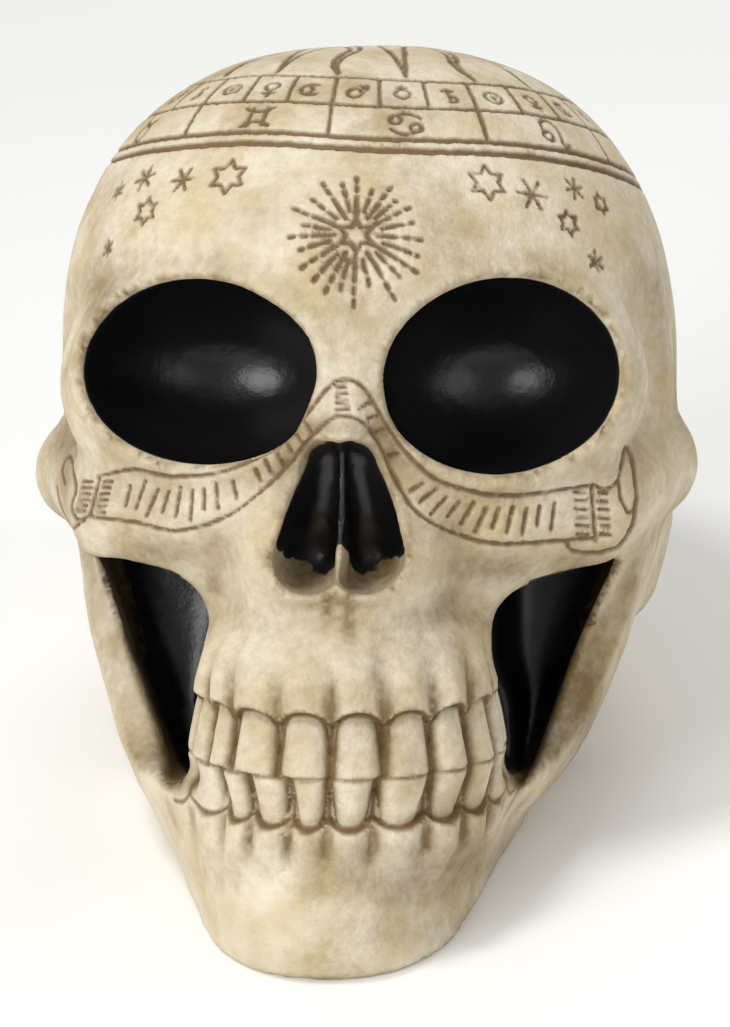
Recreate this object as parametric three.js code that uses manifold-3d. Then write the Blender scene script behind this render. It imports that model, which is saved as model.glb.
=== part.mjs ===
import * as THREE from 'three';
import Module from 'manifold-3d';

// A cast skull ornament: one solid, standing on a flat cut under the chin and the back of the head.
// It is shaped upright first: x to the viewer's right, y away from the viewer, z up, and z = 0 at the
// lower rim of the eye sockets. The whole is then tipped back onto its foot. All sizes are in mm.

// Heights
const BITE_Z = -50.3;
const UPPER_GUM_Z = -40.6;
const LOWER_GUM_Z = -58.2;
const CHIN_Z = -83.0;
const CHIN_Y = -62.0;

// Foot
const FOOT_TILT = 24.0;
const FOOT_SPARE = 6.0;
const FOOT_CUT_SIZE = 400.0;

// Eye sockets, left and right: how far out and how high the middle lies, half width and half height
const SOCKET_OUT = [22.75, 25.5];
const SOCKET_Z = [16.9, 16.1];
const SOCKET_WIDE = [22.5, 20.8];
const SOCKET_TALL = [15.6, 16.3];
const SOCKET_RADII = [20, 22, 16];

// Nose: half the width of the bone that parts its top
const NOSE_PARTING = 1.2;

// Roundness of the rims
const SOCKET_RIM = 4.5;
const NOSE_RIM = 2.5;
const CHEEK_RIM = 4.5;

// Crown ring: a groove cut round the dome, a little lower on the viewer's right
const RING_Z = 54.4;
const RING_FALL = 0.042;
const RING_CENTRE_Y = -2.0;
const RING_STEPS = 64;
const RING_HALF_WIDTH = 0.85;
const RING_DEPTH = 0.8;
const RING_PROUD = 0.6;

// Teeth on one oval arch, and the angles of the gaps between them
const ARCH_X = 0.8;
const ARCH_Y = -49.0;
const ARCH_RX = 25.0;
const ARCH_RY = 23.6;
const ARCH_CANT = 0.17;
const ARCH_BACK_Y = -26.0;
const TEETH_FRONT_Y = -74.0;
const UPPER_GAPS = [
  -115, -102, -89, -74.4, -57.3, -43.7, -21.9, -1.5, 18.3, 37.3, 55.5, 73.7, 88, 101, 115,
];
const LOWER_GAPS = [
  -115, -102, -87, -70.7, -48.7, -34.2, -16.9, -2.3, 15.0, 37.0, 55.5, 74, 88, 101, 115,
];
const TOOTH_BULGE = 3.6;

// Jaw outline: half widths and front depths at heights
const JAW_BACK_Y = -8.0;
const JAW_POWER = 2.4;
const JAW_WIDTHS = [
  [-83, 26.4], [-75, 27.2], [-68, 30.2], [-59, 36.2], [-54, 39.5],
  [-46, 43.0], [-37, 45.7], [-29, 48.0], [-21, 50.2], [-12, 51.5],
];
const RIGHT_TRIM = [[-83, 0], [-78, 0], [-69, 2.6], [-59.5, 5.0], [-50, 2.7], [-40, 1.0], [-30, 0]];
const CHIN_DEPTHS = [[-84, 57], [-79, 61.5], [-72, 63.5], [-66, 62.5], [-60, 60.0], [-54, 59]];
const JAW_LEAN = 1.5;
const CHIN_LEAN = 1.8;
const RIGHT_ARCH_SHIFT = [1.4, 0, -1.5];

// Mesh: spacing of the first cells; then the shortest edge that may be split, and how far its middle
// has to be off the surface for that
const CELL_FINE = 4.2;
const CELL_SIDE = 6.0;
const CELL_BACK = 9.0;
const CELL_DOME = 8.0;
const EDGE_TEETH = 2.2;
const EDGE_FACE = 3.0;
const EDGE_REST = 6.0;
const OFF_TEETH = 0.13;
const OFF_FACE = 0.2;
const OFF_REST = 0.32;

// Thinning: the error allowed is this share of the one above; no longer edges, no thinner triangles
const THIN_SHARE = 1.0;
const THIN_EDGE = 20.0;
const THIN_SHAPE = 0.22;
const THIN_BEND = 0.86;
const THIN_PASSES = 4;
const SHORT_EDGE = 0.06;
const FLAT_ERROR = 1e-5;
const FILLED = 1e-3;

// Corners of a cell's sides, in order round each; a corner's bits are its steps in x, y and z
const CUBE_SIDES = [[0, 1, 3, 2], [4, 5, 7, 6], [0, 1, 5, 4], [2, 3, 7, 6], [0, 2, 6, 4], [1, 3, 7, 5]];

const BOX_LOW = [-66, -84, -96];
const BOX_HIGH = [66, 82, 86];

const radians = (degrees) => degrees * Math.PI / 180;
const clamp = (value, low, high) => Math.min(Math.max(value, low), high);

function smoothStep(a, b, x) {
  const t = clamp((x - a) / (b - a), 0, 1);
  return t * t * (3 - 2 * t);
}

function smoothMin(a, b, k) {
  const h = clamp(0.5 + 0.5 * (b - a) / k, 0, 1);
  return b + (a - b) * h - k * h * (1 - h);
}

const smoothMax = (a, b, k) => -smoothMin(-a, -b, k);

// Value at x on a line through the given points
function along(points, x) {
  if (x <= points[0][0]) return points[0][1];
  for (let i = 1; i < points.length; i += 1) {
    const [x1, y1] = points[i];
    const [x0, y0] = points[i - 1];
    if (x <= x1) return y0 + (y1 - y0) * (x - x0) / (x1 - x0);
  }
  return points[points.length - 1][1];
}

// Point seen from a form's own centre and turned axes
function local(p, centre, turn) {
  const v = new THREE.Vector3(p[0] - centre[0], p[1] - centre[1], p[2] - centre[2]);
  if (turn) v.applyMatrix4(turn);
  return [v.x, v.y, v.z];
}

function turned(rx, ry, rz) {
  const euler = new THREE.Euler(radians(rx), radians(ry), radians(rz), 'ZYX');
  return new THREE.Matrix4().makeRotationFromEuler(euler).transpose();
}

// Ellipsoid; a power above 2 makes it squarer
function ball(p, centre, radii, turn = null, power = 2) {
  const q = local(p, centre, turn);
  let sum = 0;
  let slope = 0;
  for (let i = 0; i < 3; i += 1) {
    const s = Math.abs(q[i]) / radii[i];
    sum += s ** power;
    slope += (s ** (power - 1) / radii[i]) ** 2;
  }
  const k0 = sum ** (1 / power) + 1e-6;
  if (power === 2) return k0 * (k0 - 1) / (Math.sqrt(slope) + 1e-6);
  return (k0 - 1) / (Math.sqrt(slope) * k0 ** (1 - power) + 1e-6);
}

// Tapered round bar from a to b; a squash under 1 stretches it along that axis
function strut(p, a, b, ra, rb, squash = [1, 1, 1]) {
  let dot = 0;
  let length2 = 0;
  const q = [0, 0, 0];
  const d = [0, 0, 0];
  for (let i = 0; i < 3; i += 1) {
    q[i] = (p[i] - a[i]) * squash[i];
    d[i] = (b[i] - a[i]) * squash[i];
    dot += q[i] * d[i];
    length2 += d[i] * d[i];
  }
  const t = clamp(dot / length2, 0, 1);
  return Math.hypot(q[0] - t * d[0], q[1] - t * d[1], q[2] - t * d[2]) - (ra + (rb - ra) * t);
}

// Box with rounded edges
function block(p, centre, half, rounding, turn = null) {
  const q = local(p, centre, turn).map((v, i) => Math.abs(v) - (half[i] - rounding));
  const outside = Math.hypot(Math.max(q[0], 0), Math.max(q[1], 0), Math.max(q[2], 0));
  return outside + Math.min(Math.max(q[0], q[1], q[2]), 0) - rounding;
}

// Upright oval column, rounded at its ends
function column(p, centre, rx, ry, low, high, rounding) {
  const x = p[0] - centre[0];
  const y = p[1] - centre[1];
  const k0 = Math.hypot(x / rx, y / ry) + 1e-6;
  const k1 = Math.hypot(x / rx ** 2, y / ry ** 2) + 1e-6;
  const end = Math.abs(p[2] - (low + high) / 2) - (high - low) / 2;
  return smoothMax(k0 * (k0 - 1) / k1, end, rounding);
}

// Place across its own tooth, from 0 in the middle to 1 at a gap, for an angle round the arch
function acrossTooth(angle, gaps) {
  let i = 1;
  while (i < gaps.length - 1 && gaps[i] < angle) i += 1;
  const u = (angle - gaps[i - 1]) / (gaps[i] - gaps[i - 1]) * 2 - 1;
  return Math.min(Math.abs(u), 1);
}

const toothRound = (u, wide) => Math.max(1 - (u / wide) ** 2.4, 0) ** 0.62;

// How far the upper row stands out of the arch
function upperRelief(angle, z) {
  const u = acrossTooth(angle, UPPER_GAPS);
  const v = clamp((z - BITE_Z) / (UPPER_GUM_Z - BITE_Z), 0, 1.3);
  const tooth = (TOOTH_BULGE - 1.9 * v) * toothRound(u, 1.05 - 0.27 * v) - 1.0 - 0.3 * v;
  const gum = UPPER_GUM_Z + 0.8 - 2.6 * u ** 2.2;
  const flute = 1.3 * (1 - 1.5 * u ** 1.6) * smoothStep(UPPER_GUM_Z + 15, UPPER_GUM_Z + 4, z);
  const root = 1.2 - 3.6 * smoothStep(UPPER_GUM_Z + 3, UPPER_GUM_Z + 18, z) + flute;
  return tooth + (root - tooth) * smoothStep(gum - 0.2, gum + 0.8, z);
}

// How far the lower row stands out of the arch
function lowerRelief(angle, z) {
  const u = acrossTooth(angle, LOWER_GAPS);
  const v = clamp((BITE_Z - z) / (BITE_Z - LOWER_GUM_Z), 0, 1.4);
  const tooth = (TOOTH_BULGE - 2.0 * v) * toothRound(u, 1.04 - 0.36 * v) - 1.0 - 0.9 * v;
  const gum = LOWER_GUM_Z - 0.6 + 1.9 * u ** 2.2;
  const flute = 1.1 * (1 - 1.7 * u ** 1.6) * smoothStep(LOWER_GUM_Z - 11, LOWER_GUM_Z - 3, z);
  const root = 0.4 - 1.5 * smoothStep(LOWER_GUM_Z - 3, LOWER_GUM_Z - 14, z) + flute;
  return tooth + (root - tooth) * smoothStep(gum + 0.2, gum - 0.8, z);
}

// Teeth and the fluted bone above and below them
function dental([across, y, height]) {
  const x = across - ARCH_X;
  const z = height - ARCH_CANT * (y - TEETH_FRONT_Y);
  const back = Math.max(y - ARCH_Y, 0);
  const qx = x / ARCH_RX;
  const qy = Math.min(y - ARCH_Y, 0) / ARCH_RY;
  const k0 = Math.hypot(qx, qy) + 1e-6;
  const k1 = Math.hypot(qx / ARCH_RX, qy / ARCH_RY) + 1e-6;
  const turnBack = Math.sign(x) * back / ARCH_RX;
  const angle = (Math.atan2(qx, -qy + 1e-9) + turnBack) * 180 / Math.PI;
  const bite = 0.6 * Math.exp(-(((z - BITE_Z) / 0.32) ** 2));
  const relief = (z > BITE_Z ? upperRelief(angle, z) : lowerRelief(angle, z)) - bite;
  const ends = smoothMax(z - (UPPER_GUM_Z + 18), (LOWER_GUM_Z - 12) - z, 6);
  const rows = smoothMax(k0 * (k0 - 1) / k1 - relief, ends, 8);
  return smoothMax(rows, y - ARCH_BACK_Y, 4);
}

// V-shaped outline of the jaw, seen from the front, bowed round to the chin
function jawOutline([x, y, z]) {
  const wide = along(JAW_WIDTHS, z) - (x > 0 ? along(RIGHT_TRIM, z) : 0);
  const deep = along(CHIN_DEPTHS, z);
  const qx = Math.abs(x / wide) + 1e-6;
  const qy = Math.abs(Math.min(y - JAW_BACK_Y, 0) / deep);
  const k0 = (qx ** JAW_POWER + qy ** JAW_POWER) ** (1 / JAW_POWER);
  const gx = qx ** (JAW_POWER - 1) / wide;
  const gy = qy ** (JAW_POWER - 1) / deep;
  return (k0 - 1) / (Math.hypot(gx, gy) * k0 ** (1 - JAW_POWER));
}

function jawBone(p, outline) {
  const [, y, z] = p;
  const body = z - (-51.5 + 0.10 * (y + 60));
  const ramus = (-24 - 0.30 * (-16 - z)) - y;
  let d = smoothMax(outline, smoothMin(body, ramus, 6), 4);
  d = smoothMax(d, y - 7 - 0.15 * (z + 20), 5);
  return smoothMax(d, z + 4, 6);
}

const RIM_TURN = turned(0, 0, 16);
const CHEEK_TURN = turned(0, 0, 27);
const SOCKET_TURN = turned(0, -7, 8);

// All the bone before its hollows are cut
function bone(p) {
  const [x, y, z] = p;
  const m = [Math.abs(x), y, z];
  let d = ball(p, [0, 2, 17], [55.3, 72, 60.4], null, 2.5);
  d = smoothMin(d, ball(p, [0, -22, 24], [51, 48, 49.5], null, 2.2), 6);
  d = smoothMin(d, ball(p, [0, 42, 4], [43, 34, 36]), 14);
  d = smoothMin(d, ball(p, [0, 18, -14], [44, 46, 26]), 16);
  // temples
  d = smoothMax(d, -ball(m, [65, -41, 15], [20, 17, 25]), 5);
  // brow and bridge of the nose
  d = smoothMin(d, ball(m, [26.5, -51, 16], [24.2, 16.5, 21.5], RIM_TURN), 3.5);
  d = smoothMin(d, ball(p, [0, -58, 33], [18, 13.5, 12]), 10);
  d = smoothMin(d, strut(p, [0, -64, 28], [0, -71.5, 8.5], 6.5, 4.0, [0.85, 1, 1]), 6);
  // cheek bones and their arches
  d = smoothMin(d, block(m, [31, -50.5, -5.5], [15.5, 8, 8.6], 5.5, CHEEK_TURN), 4);
  const widest = x > 0 ? [52.1, -14, 2.5] : [53.5, -14, 1];
  d = smoothMin(d, strut(m, [42, -44, -4.6], widest, 7.4, 5.6, [1, 1, 0.8]), 4);
  const arch = x > 0 ? m.map((v, i) => v + RIGHT_ARCH_SHIFT[i]) : m;
  d = smoothMin(d, strut(arch, [53.5, -14, 1], [50, 4, 2.4], 5.6, 6, [1, 1, 0.8]), 5);
  d = smoothMin(d, ball(m, [45, -24, -1], [8.5, 20, 6]), 4);
  d = smoothMin(d, ball(p, [52.4, -9, 2.4], [4.4, 9, 4.6], null, 3), 2.5);
  // upper jaw
  d = smoothMin(d, column(p, [0, -50], 19.5, 20.5, -44, -2, 8), 5);
  d = smoothMin(d, ball(m, [8, -63, -12], [9, 9, 13]), 5);
  d = smoothMin(d, block(p, [0, -30, -26], [17, 22, 26], 6), 4);
  d = smoothMin(d, dental(p), 2);
  // bumps behind the jaw
  d = smoothMin(d, strut(m, [45, 14, -8], [45, 11, -19], 8, 6.5), 6);
  // lower jaw, and the mass that fills it
  const outline = jawOutline(p);
  d = smoothMin(d, jawBone(p, outline), 3);
  d = smoothMin(d, smoothMax(outline + 5, block(p, [0, -6, -34], [60, 28, 34], 10), 5), 4);
  return smoothMin(d, block(p, [0, 28, -26], [33, 28, 26], 16), 12);
}

function socketHollow([x, y, z]) {
  const side = x < 0 ? 0 : 1;
  const across = (Math.abs(x) - SOCKET_OUT[side]) / SOCKET_WIDE[side] * SOCKET_RADII[0];
  const above = (z - SOCKET_Z[side]) / SOCKET_TALL[side] * SOCKET_RADII[2];
  return ball([across, y, above], [0, -62, 0], SOCKET_RADII, SOCKET_TURN);
}

function noseHollow([x, y, z]) {
  const m = [Math.hypot(x, NOSE_PARTING * smoothStep(-8, 0, z)), y, z];
  return strut(m, [2.8, -73, 1.4], [4.8, -70, -13.8], 3.8, 6.2, [1, 0.5, 1]);
}

// Space between the cheek bone, the teeth and the branch of the jaw
function cheekHollow([x, y, z]) {
  const left = x < 0;
  const roof = z + (left ? 13.8 : 16.2) - 0.3 * (y + 45);
  const teeth = smoothStep(-30, -41, z) * (1 - smoothStep(-56, -63, z));
  const inner = 24.0 + 0.05 * (-24 - z) + 2.4 * teeth - Math.abs(x - ARCH_X);
  const outer = (Math.abs(x) - (left ? 45 : 44.3) - (left ? 0.40 : 0.37) * (z + 16)) * 0.9;
  let d = smoothMax(smoothMax(roof, inner, 11), outer, 4);
  d = smoothMax(d, (left ? -54 : -60.5) - z, 4);
  return smoothMax(d, y + 14, 8);
}

const footHeight = (y, z) => {
  const t = radians(FOOT_TILT);
  return (z - CHIN_Z) * Math.cos(t) - (y - CHIN_Y) * Math.sin(t);
};

// The whole skull: below zero inside, above zero outside
function skull([px, y, z]) {
  const lean = JAW_LEAN * smoothStep(-6, -32, z) + CHIN_LEAN * smoothStep(-50, -80, z);
  const p = [px + lean, y, z];
  const socket = socketHollow(p);
  const nose = noseHollow(p);
  let d = bone(p);
  d = smoothMin(d, smoothMax(socket - 3, d - 0.9, 2.5), 1.2);
  d = smoothMin(d, smoothMax(nose - 1.8, d - 0.8, 1.5), 1);
  const skin = d;
  d = smoothMax(d, -socket, SOCKET_RIM);
  d = smoothMax(d, -nose, NOSE_RIM);
  d = smoothMax(d, -cheekHollow(p), CHEEK_RIM);
  const wall = block(p, [0, -64, -6], [1.2, 12, 14], 0.8);
  d = smoothMin(d, smoothMax(wall, skin + 1.8, 1), 0.8);
  return smoothMax(d, -footHeight(y, z) - FOOT_SPARE, 2);
}

// Cell borders along one axis, stepped by a spacing that depends on the place
function ticks(low, high, spacing) {
  const out = [low];
  while (out[out.length - 1] < high) out.push(out[out.length - 1] + spacing(out[out.length - 1]));
  return out;
}

const spacingX = (x) => CELL_FINE + (CELL_SIDE - CELL_FINE) * smoothStep(28, 40, Math.abs(x));
const spacingY = (y) => CELL_FINE + (CELL_BACK - CELL_FINE) * smoothStep(-50, -10, y);
const spacingZ = (z) => CELL_FINE + (CELL_DOME - CELL_FINE) * smoothStep(5, 50, z);

// Fills the weakest empty corner wherever two parts of the solid would only touch at an edge or a
// point, so that the surface never meets itself
function separate(values, size, at) {
  const fill = (corners) => {
    const empty = corners.filter((c) => values[c] >= 0);
    const weakest = empty.reduce((a, b) => (values[a] < values[b] ? a : b));
    values[weakest] = -FILLED;
  };
  const inOnePiece = (corners, inside) => {
    const wanted = corners.map((c, n) => n).filter((n) => (values[corners[n]] < 0) === inside);
    if (wanted.length < 2) return true;
    const reached = new Set([wanted[0]]);
    for (const n of reached) {
      for (const bit of [1, 2, 4]) if (wanted.includes(n ^ bit)) reached.add(n ^ bit);
    }
    return reached.size === wanted.length;
  };
  let changed = true;
  while (changed) {
    changed = false;
    for (let i = 0; i < size[0] - 1; i += 1) {
      for (let j = 0; j < size[1] - 1; j += 1) {
        for (let k = 0; k < size[2] - 1; k += 1) {
          const c = [];
          for (let n = 0; n < 8; n += 1) c.push(at(i + (n & 1), j + ((n >> 1) & 1), k + ((n >> 2) & 1)));
          const inside = c.filter((v) => values[v] < 0).length;
          if (inside === 0 || inside === 8) continue;
          for (const [p, q, r, s] of CUBE_SIDES) {
            const crossed = (values[c[p]] < 0) === (values[c[r]] < 0)
              && (values[c[q]] < 0) === (values[c[s]] < 0)
              && (values[c[p]] < 0) !== (values[c[q]] < 0);
            if (!crossed) continue;
            fill([c[p], c[q], c[r], c[s]]);
            changed = true;
          }
          if (inOnePiece(c, true) && inOnePiece(c, false)) continue;
          fill(c);
          changed = true;
        }
      }
    }
  }
}

// Closed surface at the zero level of the field, one vertex to each crossed cell
function surfaceOf(field) {
  const axes = [
    ticks(BOX_LOW[0], BOX_HIGH[0], spacingX),
    ticks(BOX_LOW[1], BOX_HIGH[1], spacingY),
    ticks(BOX_LOW[2], BOX_HIGH[2], spacingZ),
  ];
  const size = axes.map((a) => a.length);
  const at = (i, j, k) => (i * size[1] + j) * size[2] + k;
  const values = new Float64Array(size[0] * size[1] * size[2]);
  const each = (limit, act) => {
    for (let i = 0; i < size[0] - limit; i += 1) {
      for (let j = 0; j < size[1] - limit; j += 1) {
        for (let k = 0; k < size[2] - limit; k += 1) act(i, j, k);
      }
    }
  };
  each(0, (i, j, k) => {
    values[at(i, j, k)] = field([axes[0][i], axes[1][j], axes[2][k]]);
  });
  separate(values, size, at);
  const verts = [];
  const faces = [];
  const vertexOf = new Int32Array(values.length).fill(-1);
  const steps = [[1, 0, 0], [0, 1, 0], [0, 0, 1]];
  each(1, (i, j, k) => {
    const sum = [0, 0, 0];
    let crossings = 0;
    for (let corner = 0; corner < 8; corner += 1) {
      const c = [i + (corner & 1), j + ((corner >> 1) & 1), k + ((corner >> 2) & 1)];
      for (let axis = 0; axis < 3; axis += 1) {
        if ((corner >> axis) & 1) continue;
        const e = c.map((v, n) => v + steps[axis][n]);
        const a = values[at(...c)];
        const b = values[at(...e)];
        if ((a < 0) === (b < 0)) continue;
        for (let n = 0; n < 3; n += 1) {
          sum[n] += axes[n][c[n]] + (axes[n][e[n]] - axes[n][c[n]]) * a / (a - b);
        }
        crossings += 1;
      }
    }
    if (crossings === 0) return;
    vertexOf[at(i, j, k)] = verts.length;
    verts.push(sum.map((v) => v / crossings));
  });
  each(1, (i, j, k) => {
    const here = [i, j, k];
    for (let axis = 0; axis < 3; axis += 1) {
      const u = (axis + 1) % 3;
      const v = (axis + 2) % 3;
      if (here[u] === 0 || here[v] === 0) continue;
      const a = values[at(i, j, k)] < 0;
      const b = values[at(i + steps[axis][0], j + steps[axis][1], k + steps[axis][2])] < 0;
      if (a === b) continue;
      const cell = (du, dv) => {
        const c = [...here];
        c[u] -= du;
        c[v] -= dv;
        return vertexOf[at(...c)];
      };
      const quad = [cell(1, 1), cell(0, 1), cell(0, 0), cell(1, 0)];
      if (!a) quad.reverse();
      faces.push([quad[0], quad[1], quad[2]], [quad[0], quad[2], quad[3]]);
    }
  });
  return { verts, faces };
}

// Moves a point down the field's slope until it lies on the surface
function settle(field, p, limit) {
  const h = 0.1;
  let q = p;
  for (let step = 0; step < 3; step += 1) {
    const value = field(q);
    const g = [0, 1, 2].map((n) => {
      const a = [...q];
      const b = [...q];
      a[n] += h;
      b[n] -= h;
      return (field(a) - field(b)) / (2 * h);
    });
    const slope2 = Math.max(g[0] ** 2 + g[1] ** 2 + g[2] ** 2, 0.05);
    const move = g.map((v) => -v * value / slope2);
    const scale = Math.min(1, limit / Math.max(Math.hypot(...move), 1e-6));
    q = q.map((v, n) => v + move[n] * scale);
  }
  return q;
}

// Shortest edge to split at a place, and the error that calls for it
function fineness([x, y, z]) {
  const side = Math.abs(x);
  if (side > 20 && z < -10 && y < -8) return [EDGE_FACE, OFF_FACE];
  if (y > -40 || z > 42) return [EDGE_REST, OFF_REST];
  if (z > LOWER_GUM_Z - 9 && z < UPPER_GUM_Z + 8 && side < 30) return [EDGE_TEETH, OFF_TEETH];
  if (side < 14 && z > -24 && z < 8) return [EDGE_TEETH, OFF_TEETH];
  return [EDGE_FACE, OFF_FACE];
}

// Splits the edges that are too far off, two triangles at a time, so that the surface stays closed
function refine(field, surface) {
  const { verts } = surface;
  let { faces } = surface;
  for (let round = 0; round < 4; round += 1) {
    const middle = new Map();
    const key = (a, b) => (a < b ? `${a},${b}` : `${b},${a}`);
    const split = (a, b) => {
      const id = key(a, b);
      if (middle.has(id)) return middle.get(id);
      const mid = verts[a].map((v, n) => (v + verts[b][n]) / 2);
      const length = Math.hypot(...verts[a].map((v, n) => v - verts[b][n]));
      const [shortest, off] = fineness(mid);
      let vertex = -1;
      if (length > shortest) {
        const place = settle(field, mid, length / 4);
        if (Math.hypot(...place.map((v, n) => v - mid[n])) > off) {
          vertex = verts.length;
          verts.push(place);
        }
      }
      middle.set(id, vertex);
      return vertex;
    };
    const next = [];
    for (const [a, b, c] of faces) {
      const ab = split(a, b);
      const bc = split(b, c);
      const ca = split(c, a);
      const cuts = (ab >= 0) + (bc >= 0) + (ca >= 0);
      if (cuts === 0) next.push([a, b, c]);
      else if (cuts === 3) next.push([a, ab, ca], [ab, b, bc], [ca, bc, c], [ab, bc, ca]);
      else {
        // turned so that the first edge is cut, and with two cuts the third is not
        let t = [a, b, c, ab, bc, ca];
        while (!(t[3] >= 0 && (cuts === 1 || t[4] >= 0))) t = [t[1], t[2], t[0], t[4], t[5], t[3]];
        if (cuts === 1) next.push([t[0], t[3], t[2]], [t[3], t[1], t[2]]);
        else next.push([t[0], t[3], t[2]], [t[3], t[4], t[2]], [t[3], t[1], t[4]]);
      }
    }
    faces = next;
  }
  return { verts, faces };
}

const minus = (a, b) => [a[0] - b[0], a[1] - b[1], a[2] - b[2]];
const cross = (a, b) => [
  a[1] * b[2] - a[2] * b[1], a[2] * b[0] - a[0] * b[2], a[0] * b[1] - a[1] * b[0],
];
const dot = (a, b) => a[0] * b[0] + a[1] * b[1] + a[2] * b[2];
const between = (a, b) => [(a[0] + b[0]) / 2, (a[1] + b[1]) / 2, (a[2] + b[2]) / 2];

const lengthOf = (verts, a, b) => Math.hypot(...minus(verts[a], verts[b]));

// Draws neighbouring vertices together, a onto b, wherever the rule allows it
function draw({ verts, faces }, allowed, passes) {
  const alive = faces.map(() => true);
  const facesAt = verts.map(() => new Set());
  faces.forEach((face, i) => face.forEach((v) => facesAt[v].add(i)));
  const around = (v) => {
    const out = new Set();
    for (const i of facesAt[v]) for (const n of faces[i]) if (n !== v) out.add(n);
    return out;
  };
  const collapse = (a, b, touched) => {
    for (const i of [...facesAt[a]]) {
      if (faces[i].includes(b)) {
        alive[i] = false;
        faces[i].forEach((n) => facesAt[n].delete(i));
      } else {
        facesAt[a].delete(i);
        faces[i] = faces[i].map((n) => (n === a ? b : n));
        facesAt[b].add(i);
        faces[i].forEach((n) => touched.add(n));
      }
    }
  };
  for (let pass = 0; pass < passes; pass += 1) {
    const edges = [];
    faces.forEach(([a, b, c], i) => {
      if (!alive[i]) return;
      for (const [u, v] of [[a, b], [b, c], [c, a]]) {
        if (u < v) edges.push([lengthOf(verts, u, v), u, v]);
      }
    });
    edges.sort((p, q) => p[0] - q[0]);
    const touched = new Set();
    for (const [length, u, v] of edges) {
      if (touched.has(u) || touched.has(v)) continue;
      const ring = around(v);
      if (!ring.has(u)) continue;
      const shared = [...around(u)].filter((n) => ring.has(n));
      if (shared.length !== 2 || shared.some((n) => facesAt[n].size < 4)) continue;
      const moved = (a, b) => [...facesAt[a]].filter((i) => !faces[i].includes(b)).map((i) => faces[i]);
      if (allowed(u, v, moved(u, v), length)) collapse(u, v, touched);
      else if (allowed(v, u, moved(v, u), length)) collapse(v, u, touched);
    }
  }
  const place = new Map();
  const out = [];
  const kept = faces.filter((_, i) => alive[i]);
  for (const v of kept.flat()) {
    if (place.has(v)) continue;
    place.set(v, out.length);
    out.push(verts[v]);
  }
  return { verts: out, faces: kept.map((face) => face.map((v) => place.get(v))) };
}

// Thins the mesh out where the surface hardly changes for it
function thin(field, surface) {
  const { verts } = surface;
  const near = (p) => Math.abs(field(p)) < fineness(p)[1] * THIN_SHARE;
  const fits = (a, b, moved) => moved.every((face) => {
    const old = face.map((v) => verts[v]);
    const now = face.map((v) => verts[v === a ? b : v]);
    const n0 = cross(minus(old[1], old[0]), minus(old[2], old[0]));
    const n1 = cross(minus(now[1], now[0]), minus(now[2], now[0]));
    if (dot(n0, n1) < THIN_BEND * Math.hypot(...n0) * Math.hypot(...n1)) return false;
    const sides = [0, 1, 2].map((k) => Math.hypot(...minus(now[k], now[(k + 1) % 3])));
    if (Math.max(...sides) > THIN_EDGE) return false;
    const squares = sides[0] ** 2 + sides[1] ** 2 + sides[2] ** 2;
    if (2 * Math.sqrt(3) * Math.hypot(...n1) / squares < THIN_SHAPE) return false;
    if (!near(between(between(now[0], now[1]), now[2]))) return false;
    return [0, 1, 2].every((k) => near(between(now[k], now[(k + 1) % 3])));
  });
  return draw(surface, fits, THIN_PASSES);
}

// Takes out the very short edges that a cut leaves; what lies on the foot stays on it
function tidyCut(surface) {
  const { verts } = surface;
  const onFoot = (v) => Math.abs(verts[v][2]) < FLAT_ERROR;
  const fits = (a, b, moved, length) => length < SHORT_EDGE && (!onFoot(a) || onFoot(b));
  return draw(surface, fits, THIN_PASSES);
}

// Upright place to the place as it stands on its foot
function stand([x, y, z]) {
  const t = radians(FOOT_TILT);
  const back = (y - CHIN_Y) * Math.cos(t) + (z - CHIN_Z) * Math.sin(t);
  return [x, back, footHeight(y, z)];
}

function solidOf({ verts, faces }) {
  return new wasm.Manifold(new wasm.Mesh({
    numProp: 3,
    vertProperties: new Float32Array(verts.flat()),
    triVerts: new Uint32Array(faces.flat()),
  }));
}

function surfaceOfSolid(solid) {
  const mesh = solid.getMesh();
  const verts = [];
  const faces = [];
  for (let i = 0; i < mesh.vertProperties.length; i += mesh.numProp) {
    verts.push([...mesh.vertProperties.slice(i, i + 3)]);
  }
  for (let i = 0; i < mesh.triVerts.length; i += 3) faces.push([...mesh.triVerts.slice(i, i + 3)]);
  return { verts, faces };
}

const ringHeight = (x) => RING_Z - RING_FALL * x;

// Closed bar of diamond section that runs round the dome, to be cut out of it
function ringBar() {
  const verts = [];
  const faces = [];
  for (let i = 0; i < RING_STEPS; i += 1) {
    const angle = i / RING_STEPS * 2 * Math.PI;
    const dir = [Math.cos(angle), Math.sin(angle)];
    let inside = 0;
    let outside = 90;
    for (let step = 0; step < 30; step += 1) {
      const r = (inside + outside) / 2;
      if (skull([r * dir[0], RING_CENTRE_Y + r * dir[1], ringHeight(r * dir[0])]) < 0) inside = r;
      else outside = r;
    }
    const corners = [[-RING_DEPTH, 0], [0, -RING_HALF_WIDTH], [RING_PROUD, 0], [0, RING_HALF_WIDTH]];
    for (const [out, up] of corners) {
      // the dome leans in here at about one in one, so out and up are turned to follow it
      const r = inside + (out - up) * Math.SQRT1_2;
      const z = ringHeight(inside * dir[0]) + (out + up) * Math.SQRT1_2;
      verts.push(stand([r * dir[0], RING_CENTRE_Y + r * dir[1], z]));
    }
    const a = i * 4;
    const b = ((i + 1) % RING_STEPS) * 4;
    for (let n = 0; n < 4; n += 1) {
      const m = (n + 1) % 4;
      faces.push([a + n, b + n, b + m], [a + n, b + m, a + m]);
    }
  }
  return { verts, faces };
}

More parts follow.
